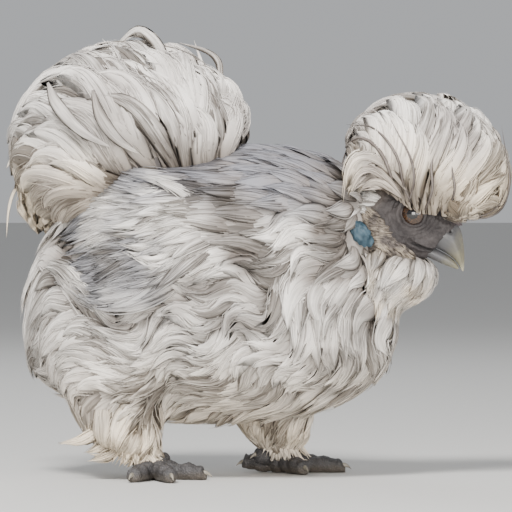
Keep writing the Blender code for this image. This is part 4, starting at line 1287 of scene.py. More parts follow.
def wing_place(sign, along, over, lift):
    """Places on the flank: along from -1 at the wing's rear to 1 at the shoulder, over from -1 at
    its lower edge to 1 at its upper one, and lift above the coat."""
    rear, front = WING_DEPTHS
    deep = over * (rear + (front - rear) * (along + 1) / 2)
    x = WING_CENTRE[0] + WING_HALF_LENGTH * along * math.cos(WING_TILT) - deep * math.sin(WING_TILT)
    z = WING_CENTRE[1] + WING_HALF_LENGTH * along * math.sin(WING_TILT) + deep * math.cos(WING_TILT)
    u = np.clip((x - TORSO_MIDDLE) / (TORSO_REACH[0] - 7), -0.999, 0.999)
    power = np.where(u < 0, *TORSO_TAPERS)
    wide = (TORSO_REACH[1] - 7) * (1 - np.abs(u) ** power) ** (1 / power)
    tall = (TORSO_REACH[2] + 3 * u - 7) * (1 - np.abs(u) ** TORSO_POWER) ** (1 / TORSO_POWER)
    middle = torso_middle(u)
    angle = np.arcsin(np.clip((z - middle) / tall, -0.97, 0.97))
    out = unit(np.stack((-0.12 * along, np.cos(angle), np.sin(angle)), -1))
    place = np.stack((x, wide * np.cos(angle), z), -1) + out * np.asarray(lift)[..., None]
    return mirrored(place, sign), mirrored(out, sign)


# Each layer of a wing: how many locks, their half width, and how far back they end
WING_LAYERS = ((54, 8.6, -1.04, -0.55), (48, 8, -0.75, -0.1), (40, 7, -0.3, 0.45))


def wing_guides(draw, sign, count, half_width, low, high):
    """Guides for one layer of a wing: a fan that sweeps back from the shoulder and rises off the flank."""
    stop = draw.uniform(low, high, count)
    start = np.minimum(stop + draw.uniform(1.1, 1.5, count), 0.97)
    fan = np.linspace(-0.97, 0.97, count) + draw.uniform(-0.05, 0.05, count)
    draw.shuffle(fan)
    t = np.linspace(0, 1, 16)[None]
    along = start[:, None] + (stop - start)[:, None] * t / RUN * (0.9 + 0.1 * t)
    along = np.maximum(along, -1.12)
    sides = np.sqrt(kept(1 - np.abs(np.clip(along, -0.9, 0.93)) ** 2.6))
    flat = np.stack((along * 60, fan[:, None] * 45 + 0 * along, 0 * along), -1)
    over = fan[:, None] * sides + 0.07 * ripple(flat, 46, 33) * t
    over = over + 0.05 * np.sin(np.pi * 2 * t) * t
    layer = 5 * (stop[:, None] + 1) + 5 * bell(fan[:, None] - 0.95, 0.3)
    layer = layer + ease(0.6, 1, t)
    high = 14 + layer - 5 * ease(0.3, 1, -along) + draw.uniform(-1, 1, (count, 1))
    lift = -5 + high * bowed(t) ** 0.8
    paths, outs = wing_place(sign, along, over, lift)
    # Locks along the wing's upper edge painted paler: a painted highlight on the wing's top
    lots = 0.6 + 0.3 * ripple(paths[:, 8], 42, 35) + 0.3 * bell(fan - 0.9, 0.35)
    lots = kept(lots + draw.normal(0, 0.12, count))
    patches = unwrap(paths[:, 0], (TORSO_MIDDLE, 0, TORSO_HEIGHT), (1.5, 1, 1))
    return paths, outs, half_width * draw.uniform(0.8, 1.2, count), lots, patches


class SILKIE_OT_wings(bpy.types.Operator):
    """Each wing as a fan of long soft locks that sweeps back from the shoulder over the flank."""

    bl_idname = "silkie.wings"
    bl_label = "Wings"

    def execute(self, context):
        sizes, colours = settings()
        # Clouds of the back's cool grey over the wing: painted cool shade
        tint = solid_tint(dimmed(colours.white, 0.86), colours.cool_back_shade, 17, 0.75)
        material = plumage("wing_plumage", colours, tint, 0.7, 0.75, 1.1)
        strand = sizes.strand_half_width / MM
        for side, sign in SIDES.items():
            draw = np.random.default_rng(31 if side == "right" else 32)
            made = []
            for layer in WING_LAYERS:
                guides = wing_guides(draw, sign, *layer)
                made += [locks(draw, guides, 7, 14, 0.2, 0.05), strands(draw, guides, 6, strand, 8, 0.2)]
            feathers("wing_coat_" + side, made, material, ("wing_" + side,))
        return {"FINISHED"}


def ball_core(ball, share):
    """A ball's inner body."""
    ways = globe(24, 32, 0.06)
    return outward(sleeve(ball.place(ways, np.full(ways.shape[:2], share))))


# Single tail plumes: half width, then spots of the photograph with their distance left of the midline
TAIL_WISPS = (
    (4, ((178, 122, -20), (168, 78, -16), (158, 46, -10), (139, 29, -6), (124, 36, -2), (113, 48, 2))),
    (0.9, ((132, 60, 0), (118, 50, 0), (108, 46, 0), (100, 38, 0))),
    (2.4, ((212, 140, 0), (208, 96, 0), (202, 66, 0), (194, 42, 0))),
    (2.2, ((222, 130, 0), (219, 90, 0), (219, 62, 0), (203, 49, 0), (180, 43, 0))),
    (2, ((226, 150, -6), (238, 130, -6), (235, 106, -6), (219, 82, -6))),
    (1.4, ((34, 172, 0), (12, 188, 0), (4, 210, 0), (2, 236, 0))),
    (3.6, ((70, 118, 6), (38, 108, 6), (14, 122, 6), (2, 144, 6))),
    (2.4, ((60, 150, -10), (26, 148, -10), (9, 158, -10), (3, 168, -10))),
    (5, ((48, 84, -52), (58, 106, -66), (84, 134, -72), (114, 149, -66))),
    (4.6, ((94, 92, -66), (102, 118, -72), (120, 142, -70), (142, 155, -62))),
)
TAIL_ROOT_LINE = ((118, 214), (138, 202), (165, 192), (196, 182), (228, 166))
# Thin dark strands over the crest, painted shadow lines between its plumes: half width, then spots of the
# photograph
CREST_SHADOW_STRANDS = (
    (1.3, ((399, 194), (392, 184), (384, 162), (374, 147), (362, 139), (352, 141), (345, 156), (342, 168))),
    (1.2, ((398, 198), (389, 188), (377, 175), (366, 170), (355, 174), (349, 182), (345, 192))),
    (1, ((410, 203), (402, 186), (396, 160), (384, 140), (370, 128), (358, 126))),
    (0.9, ((455, 214), (482, 218), (502, 208), (509, 182), (505, 152))),
    (0.6, ((446, 210), (478, 216), (497, 206), (507, 186))),
    (1.1, ((424, 210), (430, 190), (429, 165), (436, 138))),
    (0.9, ((446, 212), (452, 190), (449, 165), (456, 140))),
    (1, ((408, 202), (412, 180), (408, 158), (396, 134))),
)
# Plumes that hook down behind, drawn once and repeated across the crest: depth, and the step ahead and down
HOOK_STEPS = ((-46, 2, 0), (-34, 0, -2), (-18, 0, 1), (0, 1, -3), (18, 0, 1), (34, 2, -1))
HOOKS = (
    (4.6, ((402, 190), (388, 172), (370, 158), (355, 158), (346, 170), (343, 188))),
    (4.4, ((398, 196), (384, 180), (370, 170), (358, 172), (351, 182), (348, 194))),
    (3.8, ((398, 198), (386, 188), (376, 182), (366, 183), (359, 190))),
)
CREST_HOOKS = tuple(
    (half, tuple((across + drift, down + drop, depth) for across, down in spots))
    for depth, drift, drop in HOOK_STEPS
    for half, spots in HOOKS
)
CREST_ROOT_LINE = ((358, 190), (382, 189), (402, 200), (420, 212), (440, 215), (463, 219))


def ball_guides(draw, ball, root_line, root_width, layers, plan, sway, low_reach=0):
    """Guides for all the plumes of the tail or the crest, layer by layer from the inside out.

    plan gives, from the angles, where each springs from, how it leaves and how far it curls.
    """
    made = []
    for count, half_width, (near, far), shell, begin, (low, high) in layers:
        angle = np.radians(low + (high - low) * (np.arange(count) + draw.uniform(0, 1, count)) / count)
        spot = (np.arange(count) * GOLDEN_SHARE + draw.uniform()) % 1
        share = np.sqrt(near**2 + (far**2 - near**2) * spot)
        side = np.where(np.arange(count) % 2 == 0, -1, 1) * draw.uniform(*shell, count)
        share = share * (1 + low_reach * bell(angle - math.radians(228), 0.34))
        start, rise, curl = plan(angle, share, draw)
        starts = np.clip(begin + draw.uniform(-0.12, 0.12, count), 0, 0.75) * (begin > 0)
        tips = start, angle, share, side
        paths, outs = spray(ball, root_line, root_width, tips, rise, curl, starts)
        tangent = unit(np.gradient(paths, axis=1))
        across = unit(np.cross(tangent, outs))
        t = np.linspace(0, 1, paths.shape[1])
        phase = 1.4 * ripple(paths[:, 7], 60, 43)[:, None]
        wave = sway * draw.uniform(0.4, 1.2, (count, 1)) * np.sin(2 * np.pi * 0.8 * t + phase) * t
        paths = paths + across * wave[..., None]
        lots = kept(0.6 + 0.34 * ripple(paths[:, 8], 38, 44) + draw.normal(0, 0.24, count))
        patches = unwrap(paths[:, 3], ball.centre, ROUND)
        made.append((paths, outs, half_width * draw.uniform(0.75, 1.25, count), lots, patches))
    return made


def rim_guides(draw, ball, count, half_width, first, run, size):
    """Guides for plumes along a ball's middle line, where the plumes of its two sides meet.

    Each begins at an angle between those of first and turns on over the rim by about run.
    """
    t = np.linspace(0, 1, 15)
    angle = np.radians(draw.uniform(*first, count))[:, None]
    angle = angle + np.radians(run) * draw.uniform(0.8, 1.2, (count, 1)) * t
    across = draw.uniform(-0.26, 0.26, (count, 1)) + draw.uniform(-0.14, 0.14, (count, 1)) * t
    wide = np.sqrt(1 - across**2)
    ways = np.stack((np.cos(angle) * wide, across, np.sin(angle) * wide), -1)
    paths = carried_on(ball.place(ways, size - 0.12 + 0.12 * bowed(1.6 * t) + 0 * angle))
    outs = unit((ball.inner(paths) / ball.radii(ways[:, :1])) @ ball.axes)
    lots = kept(0.6 + draw.normal(0, 0.2, count))
    widths = half_width * draw.uniform(0.8, 1.2, count)
    return paths, outs, widths, lots, unwrap(paths[:, 3], ball.centre, ROUND)


def tail_plan(angle, share, draw):
    """Tail plumes: those in front rise straight up, and the further back they end, the further back
    they spring and lean; all curl backwards at the tip."""
    back = kept((angle - math.radians(30)) / math.radians(190))
    start = kept(0.98 - back + 0.3 * ease(0.8, 1, back) + draw.normal(0, 0.08, len(angle)))
    rise = np.radians(82 + 70 * back**1.6) + draw.normal(0, 0.08, len(angle))
    curl = np.radians(38 + 50 * share**3 + 14 * back) + draw.normal(0, 0.16, len(angle))
    return start, rise, curl


def crest_plan(angle, share, draw):
    """Crest plumes: they fan from the brow, and curl over backwards behind and forwards in front."""
    back = kept((angle - math.radians(-40)) / math.radians(250))
    turn = np.maximum(angle, 0) / (0.5 * np.pi)
    start = np.clip(0.99 - 0.15 * turn - 0.11 * turn**2 + draw.normal(0, 0.05, len(angle)), 0.12, 1)
    rise = np.radians(50 + 92 * back) + draw.normal(0, 0.08, len(angle))
    curl = np.tanh((back - 0.22) * 7) * np.radians(36 + 66 * share**3)
    return start, rise, curl + draw.normal(0, 0.12, len(angle))


class SILKIE_OT_tail(bpy.types.Operator):
    """The tail: broad plumes that rise from the rump and curl back over the top and down behind."""

    bl_idname = "silkie.tail"
    bl_label = "Tail"

    def execute(self, context):
        sizes, colours = settings()
        draw = np.random.default_rng(41)
        ball = Ball(**TAIL)
        strand = sizes.strand_half_width / MM
        layers = (
            # count, half width, reach, shell, begin, angles
            (34, 8.4, (0.9, 0.99), (0, 0.24), 0.2, (22, 252)),
            (70, 8.4, (0.92, 0.99), (0.2, 0.75), 0.25, (22, 248)),
            (110, 8.4, (0.82, 0.99), (0.82, 0.96), 0.15, (22, 248)),
            (70, 8, (0.64, 0.95), (0.96, 1.03), 0, (28, 246)),
            (24, 7.4, (0.45, 0.75), (1.02, 1.06), 0, (30, 230)),
        )
        made = []
        for guides in ball_guides(draw, ball, TAIL_ROOT_LINE, 24, layers, tail_plan, 4.2, 0.17):
            made += [
                locks(draw, guides, 9, 15, 0.34, 0.02, 0.55, 0.3),
                strands(draw, guides, 5, strand, 8, 0.34, 0.05, 0.4, 0.3, 0.88),
            ]
        rim = rim_guides(draw, ball, 46, 7.6, (25, 200), 52, 0.97)
        made += [locks(draw, rim, 9, 15, 0.34, 0.02, 0.55, 0.3), strands(draw, rim, 5, strand, 8, 0.34, 0.05)]
        wisps = placed_plumes(draw, TAIL_WISPS, ball)
        made += [locks(draw, wisps, 7, 18, 0.22, 0.02, 0.3, 0.2)]
        tint = rising_tint(colours.cream, colours.white, (0.195, 0.25), colours.shadow_grey, 15, 0.6)
        material = plumage("tail_plumage", colours, tint, 0.6, 0.7, 1.15, 0.5)
        feathers("tail_plumes", made, material, ("tail",))
        core = Ball(TAIL["centre"], (78, 62, 72, 44), 0)
        piece("tail_core", ball_core(core, 0.76), feathered_skin("tail_core_skin", colours))
        return {"FINISHED"}


class SILKIE_OT_crest(bpy.types.Operator):
    """The crest: plumes that fan up from the brow, hook down behind and curl under in front."""

    bl_idname = "silkie.crest"
    bl_label = "Crest"

    def execute(self, context):
        sizes, colours = settings()
        draw = np.random.default_rng(51)
        ball = Ball(**CREST)
        strand = sizes.strand_half_width / MM * 0.8
        layers = (
            # count, half width, reach, shell, begin, angles
            (52, 7.4, (0.92, 0.99), (0, 0.7), 0.2, (-30, 206)),
            (78, 7.4, (0.84, 0.99), (0.8, 0.95), 0.1, (-52, 222)),
            (50, 7, (0.66, 0.95), (0.95, 1.02), 0, (-52, 222)),
            (26, 6.4, (0.5, 0.9), (1, 1.04), 0, (-46, 206)),
        )
        made = []
        for guides in ball_guides(draw, ball, CREST_ROOT_LINE, 24, layers, crest_plan, 1.8):
            made += [
                locks(draw, guides, 9, 14, 0.34, 0.015, 0.6, 0.2),
                strands(draw, guides, 5, strand, 8, 0.34, 0.04, 0.4, 0.16, 0.86),
            ]
        for count, first, run in ((18, (10, 95), -55), (16, (90, 165), 45)):
            rim = rim_guides(draw, ball, count, 6.6, first, run, 0.96)
            made += [
                locks(draw, rim, 9, 14, 0.34, 0.015, 0.6, 0.2),
                strands(draw, rim, 5, strand, 8, 0.34, 0.04),
            ]
        hooks = placed_plumes(draw, CREST_HOOKS, ball)
        made += [
            locks(draw, hooks, 7, 14, 0.32, 0.02, 0.6, 0.2),
            strands(draw, hooks, 5, strand, 8, 0.32, 0.04),
        ]
        tint = rising_tint(colours.cream, colours.white, (0.195, 0.262), colours.shadow_grey, 22, 0.75)
        material = plumage("crest_plumage", colours, tint, 0.6, 0.7, 1.35, 0.75)
        feathers("crest_plumes", made, material, ("crest",))
        # Painted shadow lines: thin dark strands between the crest's plumes
        wisps = blades(placed_plumes(draw, CREST_SHADOW_STRANDS, ball))
        shadow_strand = plumage("crest_shadow_wisps", colours, solid_tint(colours.shadow_strand, colours.shadow_grey, 60), 0.2)
        feathers("crest_shadow_strands", [wisps], shadow_strand)
        piece("crest_core", ball_core(ball, 0.8), feathered_skin("crest_core_skin", colours))
        return {"FINISHED"}


def beard_cover(places):
    """The beard's depth: an oval ball, -1 at its skin and 0 at its tips."""
    inner = (places - np.array(BEARD_CENTRE)) / np.array(BEARD_RADII)
    return (np.linalg.norm(inner, axis=-1) - 1) * 27 / 10


def throat_cover(places):
    """The depth of the beard and the body where they flow together."""
    return blended([beard_cover(places), cover(places)])


def beard_lie(places, normals):
    """Down and back from the chin and the cheeks."""
    way = laid(np.broadcast_to(-UP - FORWARD * 0.6, places.shape), normals)
    return turned(way, normals, np.radians(14) * ripple(places, 26, 61))


class SILKIE_OT_beard(bpy.types.Operator):
    """The beard under the bill: soft locks that fall from the cheeks and the throat."""

    bl_idname = "silkie.beard"
    bl_label = "Beard"

    def execute(self, context):
        sizes, colours = settings()
        draw = np.random.default_rng(61)
        core = Ball(BEARD_CENTRE, (BEARD_RADII[0], BEARD_RADII[1], 22, BEARD_RADII[2]), 0)
        count = 190
        polar = np.arccos(0.7 - 1.6 * (np.arange(count) + 0.5) / count)
        turn = np.arange(count) * GOLDEN_ANGLE
        ways = np.stack((np.sin(polar) * np.cos(turn), np.sin(polar) * np.sin(turn), np.cos(polar)), -1)
        roots = core.place(ways, np.full(count, 0.66))
        lengths = draw.uniform(26, 36, count)
        t = np.linspace(0, 1, 12)
        levels = -1 + draw.uniform(0.8, 1, (count, 1)) * bowed(t / 0.9) ** 0.7
        handed = -np.tanh(roots[:, 1] / 8)
        bends = (handed * draw.uniform(0.1, 0.5, count))[:, None] * np.cos(np.pi * 1.3 * t)
        paths, outs = combed(throat_cover, roots, beard_lie, lengths, levels, bends)
        lots = kept(0.55 + 0.3 * ripple(roots, 24, 62) + draw.normal(0, 0.12, count))
        guides = paths, outs, 5.2 * draw.uniform(0.75, 1.2, count), lots, unwrap(roots, BEARD_CENTRE, ROUND)
        strand = sizes.strand_half_width / MM
        made = [locks(draw, guides, 7, 11, 0.24), strands(draw, guides, 5, strand, 6, 0.24)]
        tint = solid_tint(dimmed(colours.white, 0.76), colours.cream, 30, 0.9)
        material = plumage("beard_plumage", colours, tint, 0.6, 0.8)
        feathers("beard_plumes", made, material, ("beard",))
        piece("beard_core", ball_core(core, 0.64), feathered_skin("beard_core_skin", colours))
        return {"FINISHED"}


def head_point(forward, angle, lift=0):
    """Places on the head: forward along the bill's axis, angle from its left side over its crown.

    The section is an oval between the stations' top and bottom, and lift is how far it stands out.
    """
    top, bottom, half_width = through(HEAD_STATIONS, forward)
    tall = (top - bottom) / 2
    across = (half_width + lift) * np.cos(angle)
    up = (top + bottom) / 2 + (tall + lift) * np.sin(angle)
    return on_head(forward + 0 * across, across, up)


def face_relief(points):
    """How far the face's skin stands out from the plain head: lids, brow, cheeks, lips and folds."""
    forward, across, up = np.moveaxis((points - HEAD_CENTRE) @ HEAD_AXES.T, -1, 0)
    round_eye = np.hypot(forward - EYE_PLACE[0], up - EYE_PLACE[2])
    beside = ease(6, 12, np.abs(across))
    relief = 1.7 * bell(round_eye - 11, 2.4) * beside - 4 * ease(9.4, 7.4, round_eye) * beside
    relief += 0.32 * np.sin(round_eye * 2.3) * bell(round_eye - 14.5, 4) * beside
    brow = up - (13.6 + 2.2 * bell(forward - 3, 10))
    relief += 1.9 * bell(brow, 2.6) * ease(-20, -8, forward) * ease(24, 12, forward) * beside
    (first_x, first_y), (last_x, last_y) = MOUTH
    share = np.clip((forward - first_x) / (last_x - first_x), 0, 1.2)
    gap = up - (first_y + (last_y - first_y) * share - 1.4 * np.sin(np.pi * np.minimum(share, 1)))
    open_mouth = ease(first_x - 2.5, first_x + 1.5, forward)
    relief += open_mouth * (0.9 * bell(gap - 2, 1.2) + 0.8 * bell(gap + 2, 1.1) - 1.9 * bell(gap, 0.75))
    corner = np.hypot(forward - first_x + 1, up - first_y)
    relief += 1.2 * bell(corner - 2.6, 1.1) * ease(2, -1, forward - first_x)
    relief += 1.6 * bell(np.hypot(forward - 4, up + 14), 8) * beside
    relief += 0.9 * bell(np.hypot(forward - NOSTRIL[0] + 3, up - NOSTRIL[1]), 4)
    relief += 0.34 * ripple(points, 6, 71) + 0.16 * ripple(points, 2.6, 72)
    return relief


class SILKIE_OT_face(bpy.types.Operator):
    """The head's skin, with its lids, brow, cheeks and lips, under the crest and above the beard."""

    bl_idname = "silkie.face"
    bl_label = "Face"

    def execute(self, context):
        _, colours = settings()
        angle = circle(216)[None]
        forward = np.concatenate((np.linspace(-36, -20, 16), np.linspace(-19.3, 29, 96)))[:, None]
        points = head_point(forward + 0 * angle, angle + 0 * forward)
        normals = grid_normals(points)
        if ((points - points.mean((0, 1))) * normals).sum() < 0:
            normals = -normals
        points = points + normals * face_relief(points)[..., None]
        skin = face_finish(colours)
        piece("face", outward(sleeve(points)), skin, ("head",))
        for side, sign in SIDES.items():
            piece("eyelids_" + side, lids(sign), skin)
        return {"FINISHED"}


def lids(sign):
    """Two rolls of skin round an eye, the upper one fuller, whose opening is a little flatter than
    it is wide: a ring whose section is an oval that leans over the eye."""
    turn = circle(96)[:, None]
    round_it = circle(14)[None]
    upper = ease(-0.3, 0.9, np.sin(turn))
    reach_x = LID_RADIUS + 0.1
    reach_y = LID_RADIUS * (0.93 - 0.10 * upper)
    thick = 1.15 + 0.5 * upper + 0.12 * np.sin(turn * 9)
    inner = np.cos(round_it) * thick
    out = 3.6 + np.sin(round_it) * (thick + 0.25) - 1.1 * np.abs(np.cos(turn)) ** 1.5
    forward = EYE_PLACE[0] + np.cos(turn) * (reach_x + inner)
    up = EYE_PLACE[2] + np.sin(turn) * (reach_y + inner)
    across = sign * (EYE_PLACE[1] - 0.6 + out) + 0 * forward
    return outward(hoop(on_head(forward, across, up)))


def eye_form(sign):
    """An eye: a shallow round dome, a little fuller over its middle."""
    polar = np.linspace(0.03, np.pi - 0.03, 40)[:, None]
    turn = circle(64)[None]
    wide, deep = EYE_RADII
    bulge = 1.1 * bell(polar, 0.7)
    forward = EYE_PLACE[0] + wide * np.sin(polar) * np.cos(turn)
    up = EYE_PLACE[2] + wide * np.sin(polar) * np.sin(turn)
    across = sign * (EYE_PLACE[1] + deep * np.cos(polar) + bulge) + 0 * forward
    points = on_head(forward, across, up)
    return outward(sleeve(points))


def eye_finish(name, colours):
    """A wet eye: a black pupil in a brown iris with fine fibres, darker at its rim."""
    paint = Paint(name)
    x, _, z = paint.parts(paint.place())
    centre = HEAD_CENTRE + np.array((EYE_PLACE[0], 0, EYE_PLACE[2])) @ HEAD_AXES
    dx, dz = x - float(centre[0] * MM), z - float(centre[2] * MM)
    radius = paint.node("ShaderNodeMath", {"operation": "SQRT"}, {0: dx * dx + dz * dz})
    turn_round = paint.node("ShaderNodeMath", {"operation": "ARCTAN2"}, {0: dz, 1: dx})
    fibre = paint.noise(paint.vector(turn_round * 5, radius * 420, 0), 1, 3)
    iris = paint.mix(fibre.between(0.3, 0.7), dimmed(colours.iris, 0.45), dimmed(colours.iris, 1.9))
    iris = paint.mix(radius.between(0.0062, 0.0082) * 0.85, iris, (0.012, 0.008, 0.008))
    colour = paint.mix(radius.between(0.0042, 0.0037), iris, (0.003, 0.003, 0.004))
    wet = {"Coat_Weight": 1, "Coat_Roughness": 0.03, "Specular_IOR_Level": 0.5}
    return paint.finish(colour, 0.12, None, **wet)


class SILKIE_OT_eyes(bpy.types.Operator):
    """The eyes: shallow glossy domes, with a round pupil in a brown iris."""

    bl_idname = "silkie.eyes"
    bl_label = "Eyes"

    def execute(self, context):
        _, colours = settings()
        for side, sign in SIDES.items():
            wet = eye_finish("eye_" + side, colours)
            piece("eyeball_" + side, eye_form(sign), wet, ("eye_" + side,))
        return {"FINISHED"}


def bill_part(stations, ridge, nostrils):
    """Half a bill: ovals through the stations, whose top or bottom draws in to a ridge."""
    t = np.linspace(0, 1, 84) ** 0.8
    at = (stations[0][0] + (stations[-1][0] - stations[0][0]) * t)[:, None]
    angle = circle(72)[None]
    top, bottom, half_width = (column[:, 0, None] for column in through(stations, at))
    middle, tall = (top + bottom) / 2, (top - bottom) / 2
    pinch = 1 - ridge * ease(0, 1, np.sin(angle) * np.sign(ridge))
    across = half_width * np.cos(angle) * np.clip(pinch, 0.2, 1)
    up = middle + tall * np.sin(angle)
    forward = at + 0 * angle
    if nostrils:
        pit = np.hypot((forward - NOSTRIL[0]) / 2.6, (up - NOSTRIL[1]) / 1.25)
        across = across - np.sign(across) * 1.7 * bell(pit, 1) + np.sign(across) * 0.7 * bell(pit - 1.7, 0.6)
    return outward(sleeve(on_head(forward, across, up)))


def bill_finish(name, colours):
    """Horn: slate blue at its base, pale at its end, with fine growth lines along it and painted shade in the
    nostrils.
    """
    paint = Paint(name)
    place = paint.place()
    _, y, _ = paint.parts(place)
    forward, up = paint.head_parts()
    lines = paint.noise(paint.vector(forward * 60, y * 900, up * 900), 1, 3)
    cloud = paint.noise(place, 150, 3)
    end = (forward + (cloud - 0.5) * 0.012 + up * 0.12).between(0.033, 0.050)
    shade = paint.mix(end, colours.horn_grey, colours.horn)
    shade = paint.mix((lines - 0.45).held() * 0.9, shade, dimmed(colours.horn_grey, 0.6))
    pale = forward.between(0.049, 0.0545)
    shade = paint.mix(pale * 0.5, shade, (0.62, 0.58, 0.42))
    # The nostril: a near-black pit, painted shade
    pit_x, pit_y = (forward - NOSTRIL[0] * MM) / 0.0021, (up - NOSTRIL[1] * MM) / 0.001
    pit = (pit_x * pit_x + pit_y * pit_y).between(1.3, 0.5)
    shade = paint.mix(pit, shade, (0.012, 0.01, 0.012))
    normal = paint.bump(lines, 0.35, 0.0003)
    return paint.finish(shade, 0.34 + lines * 0.22, normal, Coat_Weight=0.12, Coat_Roughness=0.25)


class SILKIE_OT_bill(bpy.types.Operator):
    """The bill, a little open: the upper half hooks over the lower, with painted shade in the mouth between.
    """

    bl_idname = "silkie.bill"
    bl_label = "Bill"

    def execute(self, context):
        _, colours = settings()
        material = bill_finish("bill_horn", colours)
        piece("bill_top", bill_part(UPPER_BILL, 0.5, True), material, ("bill_upper",))
        piece("bill_bottom", bill_part(LOWER_BILL, -0.35, False), material, ("bill_lower",))
        return {"FINISHED"}


class SILKIE_OT_comb(bpy.types.Operator):
    """The comb: a low cushion of small knobs that shows at the foot of the crest."""

    bl_idname = "silkie.comb"
    bl_label = "Comb"

    def execute(self, context):
        way = globe(48, 72)
        knobs = 1 + 0.13 * np.abs(ripple(way * 10, 7, 81)) + 0.05 * ripple(way * 10, 2.5, 82)
        inner = way * np.array((7, 6.2, 3.6)) * knobs[..., None] + np.array((24, 0, 22))
        points = HEAD_CENTRE + inner @ HEAD_AXES
        paint = Paint("comb_skin")
        place = paint.place()
        pebble = paint.cells(place, 900)
        cloud = paint.noise(place, 240, 3)
        shade = paint.mix(cloud.between(0.35, 0.7), (0.06, 0.045, 0.05), (0.15, 0.12, 0.125))
        material = paint.finish(shade, 0.45 + cloud * 0.2, paint.bump(pebble * -1 + cloud, 0.5, 0.0004))
        piece("comb_knobs", outward(sleeve(points)), material, ("comb",))
        return {"FINISHED"}


def earlobe_form(sign):
    """An earlobe: a flat oval that hangs forwards and down, with shallow creases."""
    out = unit(np.array((0.25, sign, 0)))
    along = unit(np.array((0.62, 0, -0.78)))
    along = unit(along - out * (along @ out))
    axes = np.array((along, np.cross(out, along), out))
    way = globe(36, 56)
    crease = 1 + 0.05 * np.sin(way[..., 0] * 14 + way[..., 1] * 5)
    crease = crease + 0.05 * ripple(way * 9, 4, 91)
    centre = np.array((LOBE_PLACE[0], sign * LOBE_PLACE[1], LOBE_PLACE[2]))
    points = centre + (way * np.array(LOBE_RADII) * crease[..., None]) @ axes
    return outward(sleeve(points))


def earlobe_finish(name, colours):
    """Turquoise skin, paler in clouds and darker in its creases."""
    paint = Paint(name)
    place = paint.place()
    creases = paint.noise(place, 420, 3, 0.6)
    cloud = paint.noise(place, 120, 2)
    pale = tuple(min(1, 1.7 * c + 0.04) for c in colours.earlobe)
    shade = paint.mix(cloud.between(0.35, 0.7), colours.earlobe, pale)
    shade = paint.mix(creases.between(0.55, 0.75) * 0.5, shade, dimmed(colours.earlobe, 0.45))
    return paint.finish(shade, 0.45 + creases * 0.25, paint.bump(creases, 0.5, 0.0005))


class SILKIE_OT_earlobes(bpy.types.Operator):
    """The turquoise earlobes: flat ovals with fine creases."""

    bl_idname = "silkie.earlobes"
    bl_label = "Earlobes"

    def execute(self, context):
        _, colours = settings()
        for side, sign in SIDES.items():
            skin = earlobe_finish("earlobe_" + side, colours)
            piece("earlobe_skin_" + side, earlobe_form(sign), skin, ("earlobe_" + side,))
        return {"FINISHED"}


# Small feathers of the cheek, in the head's axes: number, half width, length, the corners of the
# area that they're drawn from, and how steeply they fall in degrees
CHEEK_PATCHES = {
    "cheek_white_": (620, 1.1, 11, (-37, -26), (-22, 0), 34),
    "cheek_scales_": (1450, 0.95, 6, (-20, -41), (29, -10), 20),
}


def cheek_feathers(draw, sign, patch, count, half_width, length, low, high, fall):
    """Short feathers that lie back along the cheek: the white patch behind the eye, or the scales."""
    forward = draw.uniform(low[0], high[0], count)
    up = draw.uniform(low[1], high[1], count)
    eye = np.hypot(forward - EYE_PLACE[0], up - EYE_PLACE[2])
    if patch:
        keep = (eye > 25) & (up < 6 + 0.8 * (forward + 24)) & (up > -22)
    else:
        under = np.where(forward > 13, -14.5, -12 - 0.3 * np.maximum(forward, -6))
        keep = (eye > 17 + draw.uniform(0, 5, count)) & (up < under)
    forward, up = forward[keep], up[keep]
    many = len(forward)
    t = np.linspace(0, 1, 6)[None]
    run = draw.uniform(0.75, 1.2, (many, 1)) * length * t
    flat = np.stack((forward, up, 0 * up), -1)
    drop = np.radians(fall) + 0.3 * ripple(flat, 14, 103)[:, None]
    at = forward[:, None] - run * np.cos(drop)
    tall_at = up[:, None] - run * np.sin(drop)
    top, bottom, _ = through(HEAD_STATIONS, at)
    height = (tall_at - (top + bottom) / 2) / ((top - bottom) / 2)
    angle = np.arcsin(np.clip(height, -0.985, 0.985))
    lift = 0.6 + 1.5 * np.sin(np.pi * t * 0.62)
    paths = head_point(at, angle, lift)
    outs = paths - head_point(at, angle, lift - 3)
    paths, outs = mirrored(paths, sign), unit(mirrored(outs, sign))
    widths = half_width * draw.uniform(0.75, 1.25, many)
    lots = draw.uniform(0.2, 0.9, many)
    return blades((paths, outs, widths, lots, unwrap(paths[:, 0], HEAD_CENTRE, ROUND)))


class SILKIE_OT_cheeks(bpy.types.Operator):
    """Small feathers on the head: a white patch behind the eye, and rows of scale-like feathers over
    the cheek, from below the eye down to the beard."""

    bl_idname = "silkie.cheeks"
    bl_label = "Cheek feathers"

    def execute(self, context):
        _, colours = settings()
        white = plumage("cheek_white", colours, solid_tint(colours.white, colours.bright, 60), 0.3, 0.4)
        tint = solid_tint(colours.face_light, colours.cream, 130, 0.75)
        scale = plumage("cheek_scales", colours, tint, 0.9, 1.15)
        for side, sign in SIDES.items():
            draw = np.random.default_rng(101 if side == "right" else 102)
            for name, material in (("cheek_white_", white), ("cheek_scales_", scale)):
                made = cheek_feathers(draw, sign, name == "cheek_white_", *CHEEK_PATCHES[name])
                feathers(name + side, [made], material)
        return {"FINISHED"}


def toe_way(side, name):
    """The way a toe points: the foot's heading, turned by the toe's own angle towards the midline."""
    inward = -1 if side == "left" else 1
    angle = math.radians(FEET[side]["heading"] + inward * TOES[name][0])
    return np.array((math.cos(angle), math.sin(angle), 0))


